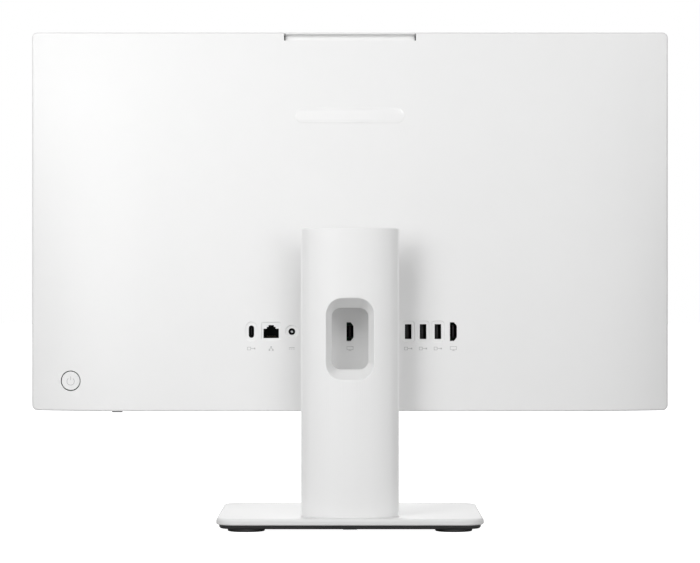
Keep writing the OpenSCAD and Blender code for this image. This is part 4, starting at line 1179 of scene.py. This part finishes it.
FLOOR_STEEP, FLOOR_LOW = 0.6, 1.0    # the floor's glow seen from above and at a low angle
SKY = 0.3
CAMERA_AT = (0, 2.569, 0.2068)
CAMERA_LENS = 154.6


def stage():
    mesh = bpy.data.meshes.new("floor")
    s = 12
    mesh.from_pydata([(-s, -s, 0), (s, -s, 0), (s, s, 0), (-s, s, 0)], [], [(0, 1, 2, 3)])
    floor = bpy.data.objects.new("floor", mesh)
    bpy.context.scene.collection.objects.link(floor)
    mat, nodes, links, bsdf = new_material("pale_floor")
    vector = coords(nodes, links)
    tone = noise(nodes, links, vector, 3, 4)
    links.new(mix_colour(nodes, links, tone, (0.49, 0.49, 0.49, 1), (0.51, 0.51, 0.51, 1)),
              bsdf.inputs["Base Color"])
    fill(bsdf, {"Roughness": 0.7, "Emission Color": (1, 1, 1, 1)})
    # seen at a low angle the floor turns into the white sweep behind it
    facing = nodes.new("ShaderNodeLayerWeight")
    fill(facing, {"Blend": 0.5})
    sheen = spread(nodes, links, facing.outputs["Facing"], FLOOR_STEEP, FLOOR_LOW, 0.78, 0.9)
    path = nodes.new("ShaderNodeLightPath")
    links.new(math_node(nodes, links, "MULTIPLY", sheen, path.outputs["Is Camera Ray"]),
              bsdf.inputs["Emission Strength"])
    mesh.materials.append(mat)


def world():
    """White to the camera, dimmer as a source of light."""
    studio = bpy.data.worlds.new("studio")
    bpy.context.scene.world = studio
    studio.use_nodes = True
    nodes, links = studio.node_tree.nodes, studio.node_tree.links
    path = nodes.new("ShaderNodeLightPath")
    background = nodes["Background"]
    fill(background, {"Color": (1, 1, 1, 1)})
    links.new(math_node(nodes, links, "MAXIMUM", path.outputs["Is Camera Ray"], SKY),
              background.inputs["Strength"])


def area_light(name, at, size, power, target=(0, 0, 0.22), spread=180):
    data = bpy.data.lights.new(name, "AREA")
    data.shape = "RECTANGLE"
    data.size, data.size_y = size
    data.energy = power
    data.spread = math.radians(spread)
    light = bpy.data.objects.new(name, data)
    light.location = at
    towards = Vector(target) - Vector(at)
    light.rotation_euler = towards.to_track_quat("-Z", "Y").to_euler()
    bpy.context.scene.collection.objects.link(light)
    light.visible_camera = False


def camera():
    data = bpy.data.cameras.new("camera")
    data.sensor_width = 36
    data.lens = CAMERA_LENS
    data.clip_end = 50
    obj = bpy.data.objects.new("camera", data)
    obj.location = CAMERA_AT
    obj.rotation_euler = (math.radians(90), 0, math.radians(180))
    bpy.context.scene.collection.objects.link(obj)
    bpy.context.scene.camera = obj


stage()
world()
area_light("key", (0.45, 0.8, 0.8), (0.5, 0.5), 2.83)
area_light("low_key", (0.6, 0.8, 0.45), (0.5, 0.5), 2.6)
area_light("side_fill", (-1.209, 1.441, 0.464), (0.8, 0.8), 5.5)
area_light("rear_fill", (-0.5, 1.6, 1.2), (0.8, 0.6), 6.8)
area_light("front_fill", (0, -2.2, 1.0), (1.6, 1.0), 12)
# close above the front of the base, so that its top reads evenly bright from behind
area_light("base_fill", (0, -0.25, 0.22), (0.3, 0.06), 0.28, (0, -0.07, 0.02), 110)
camera()
bpy.context.scene.view_settings.view_transform = "Standard"
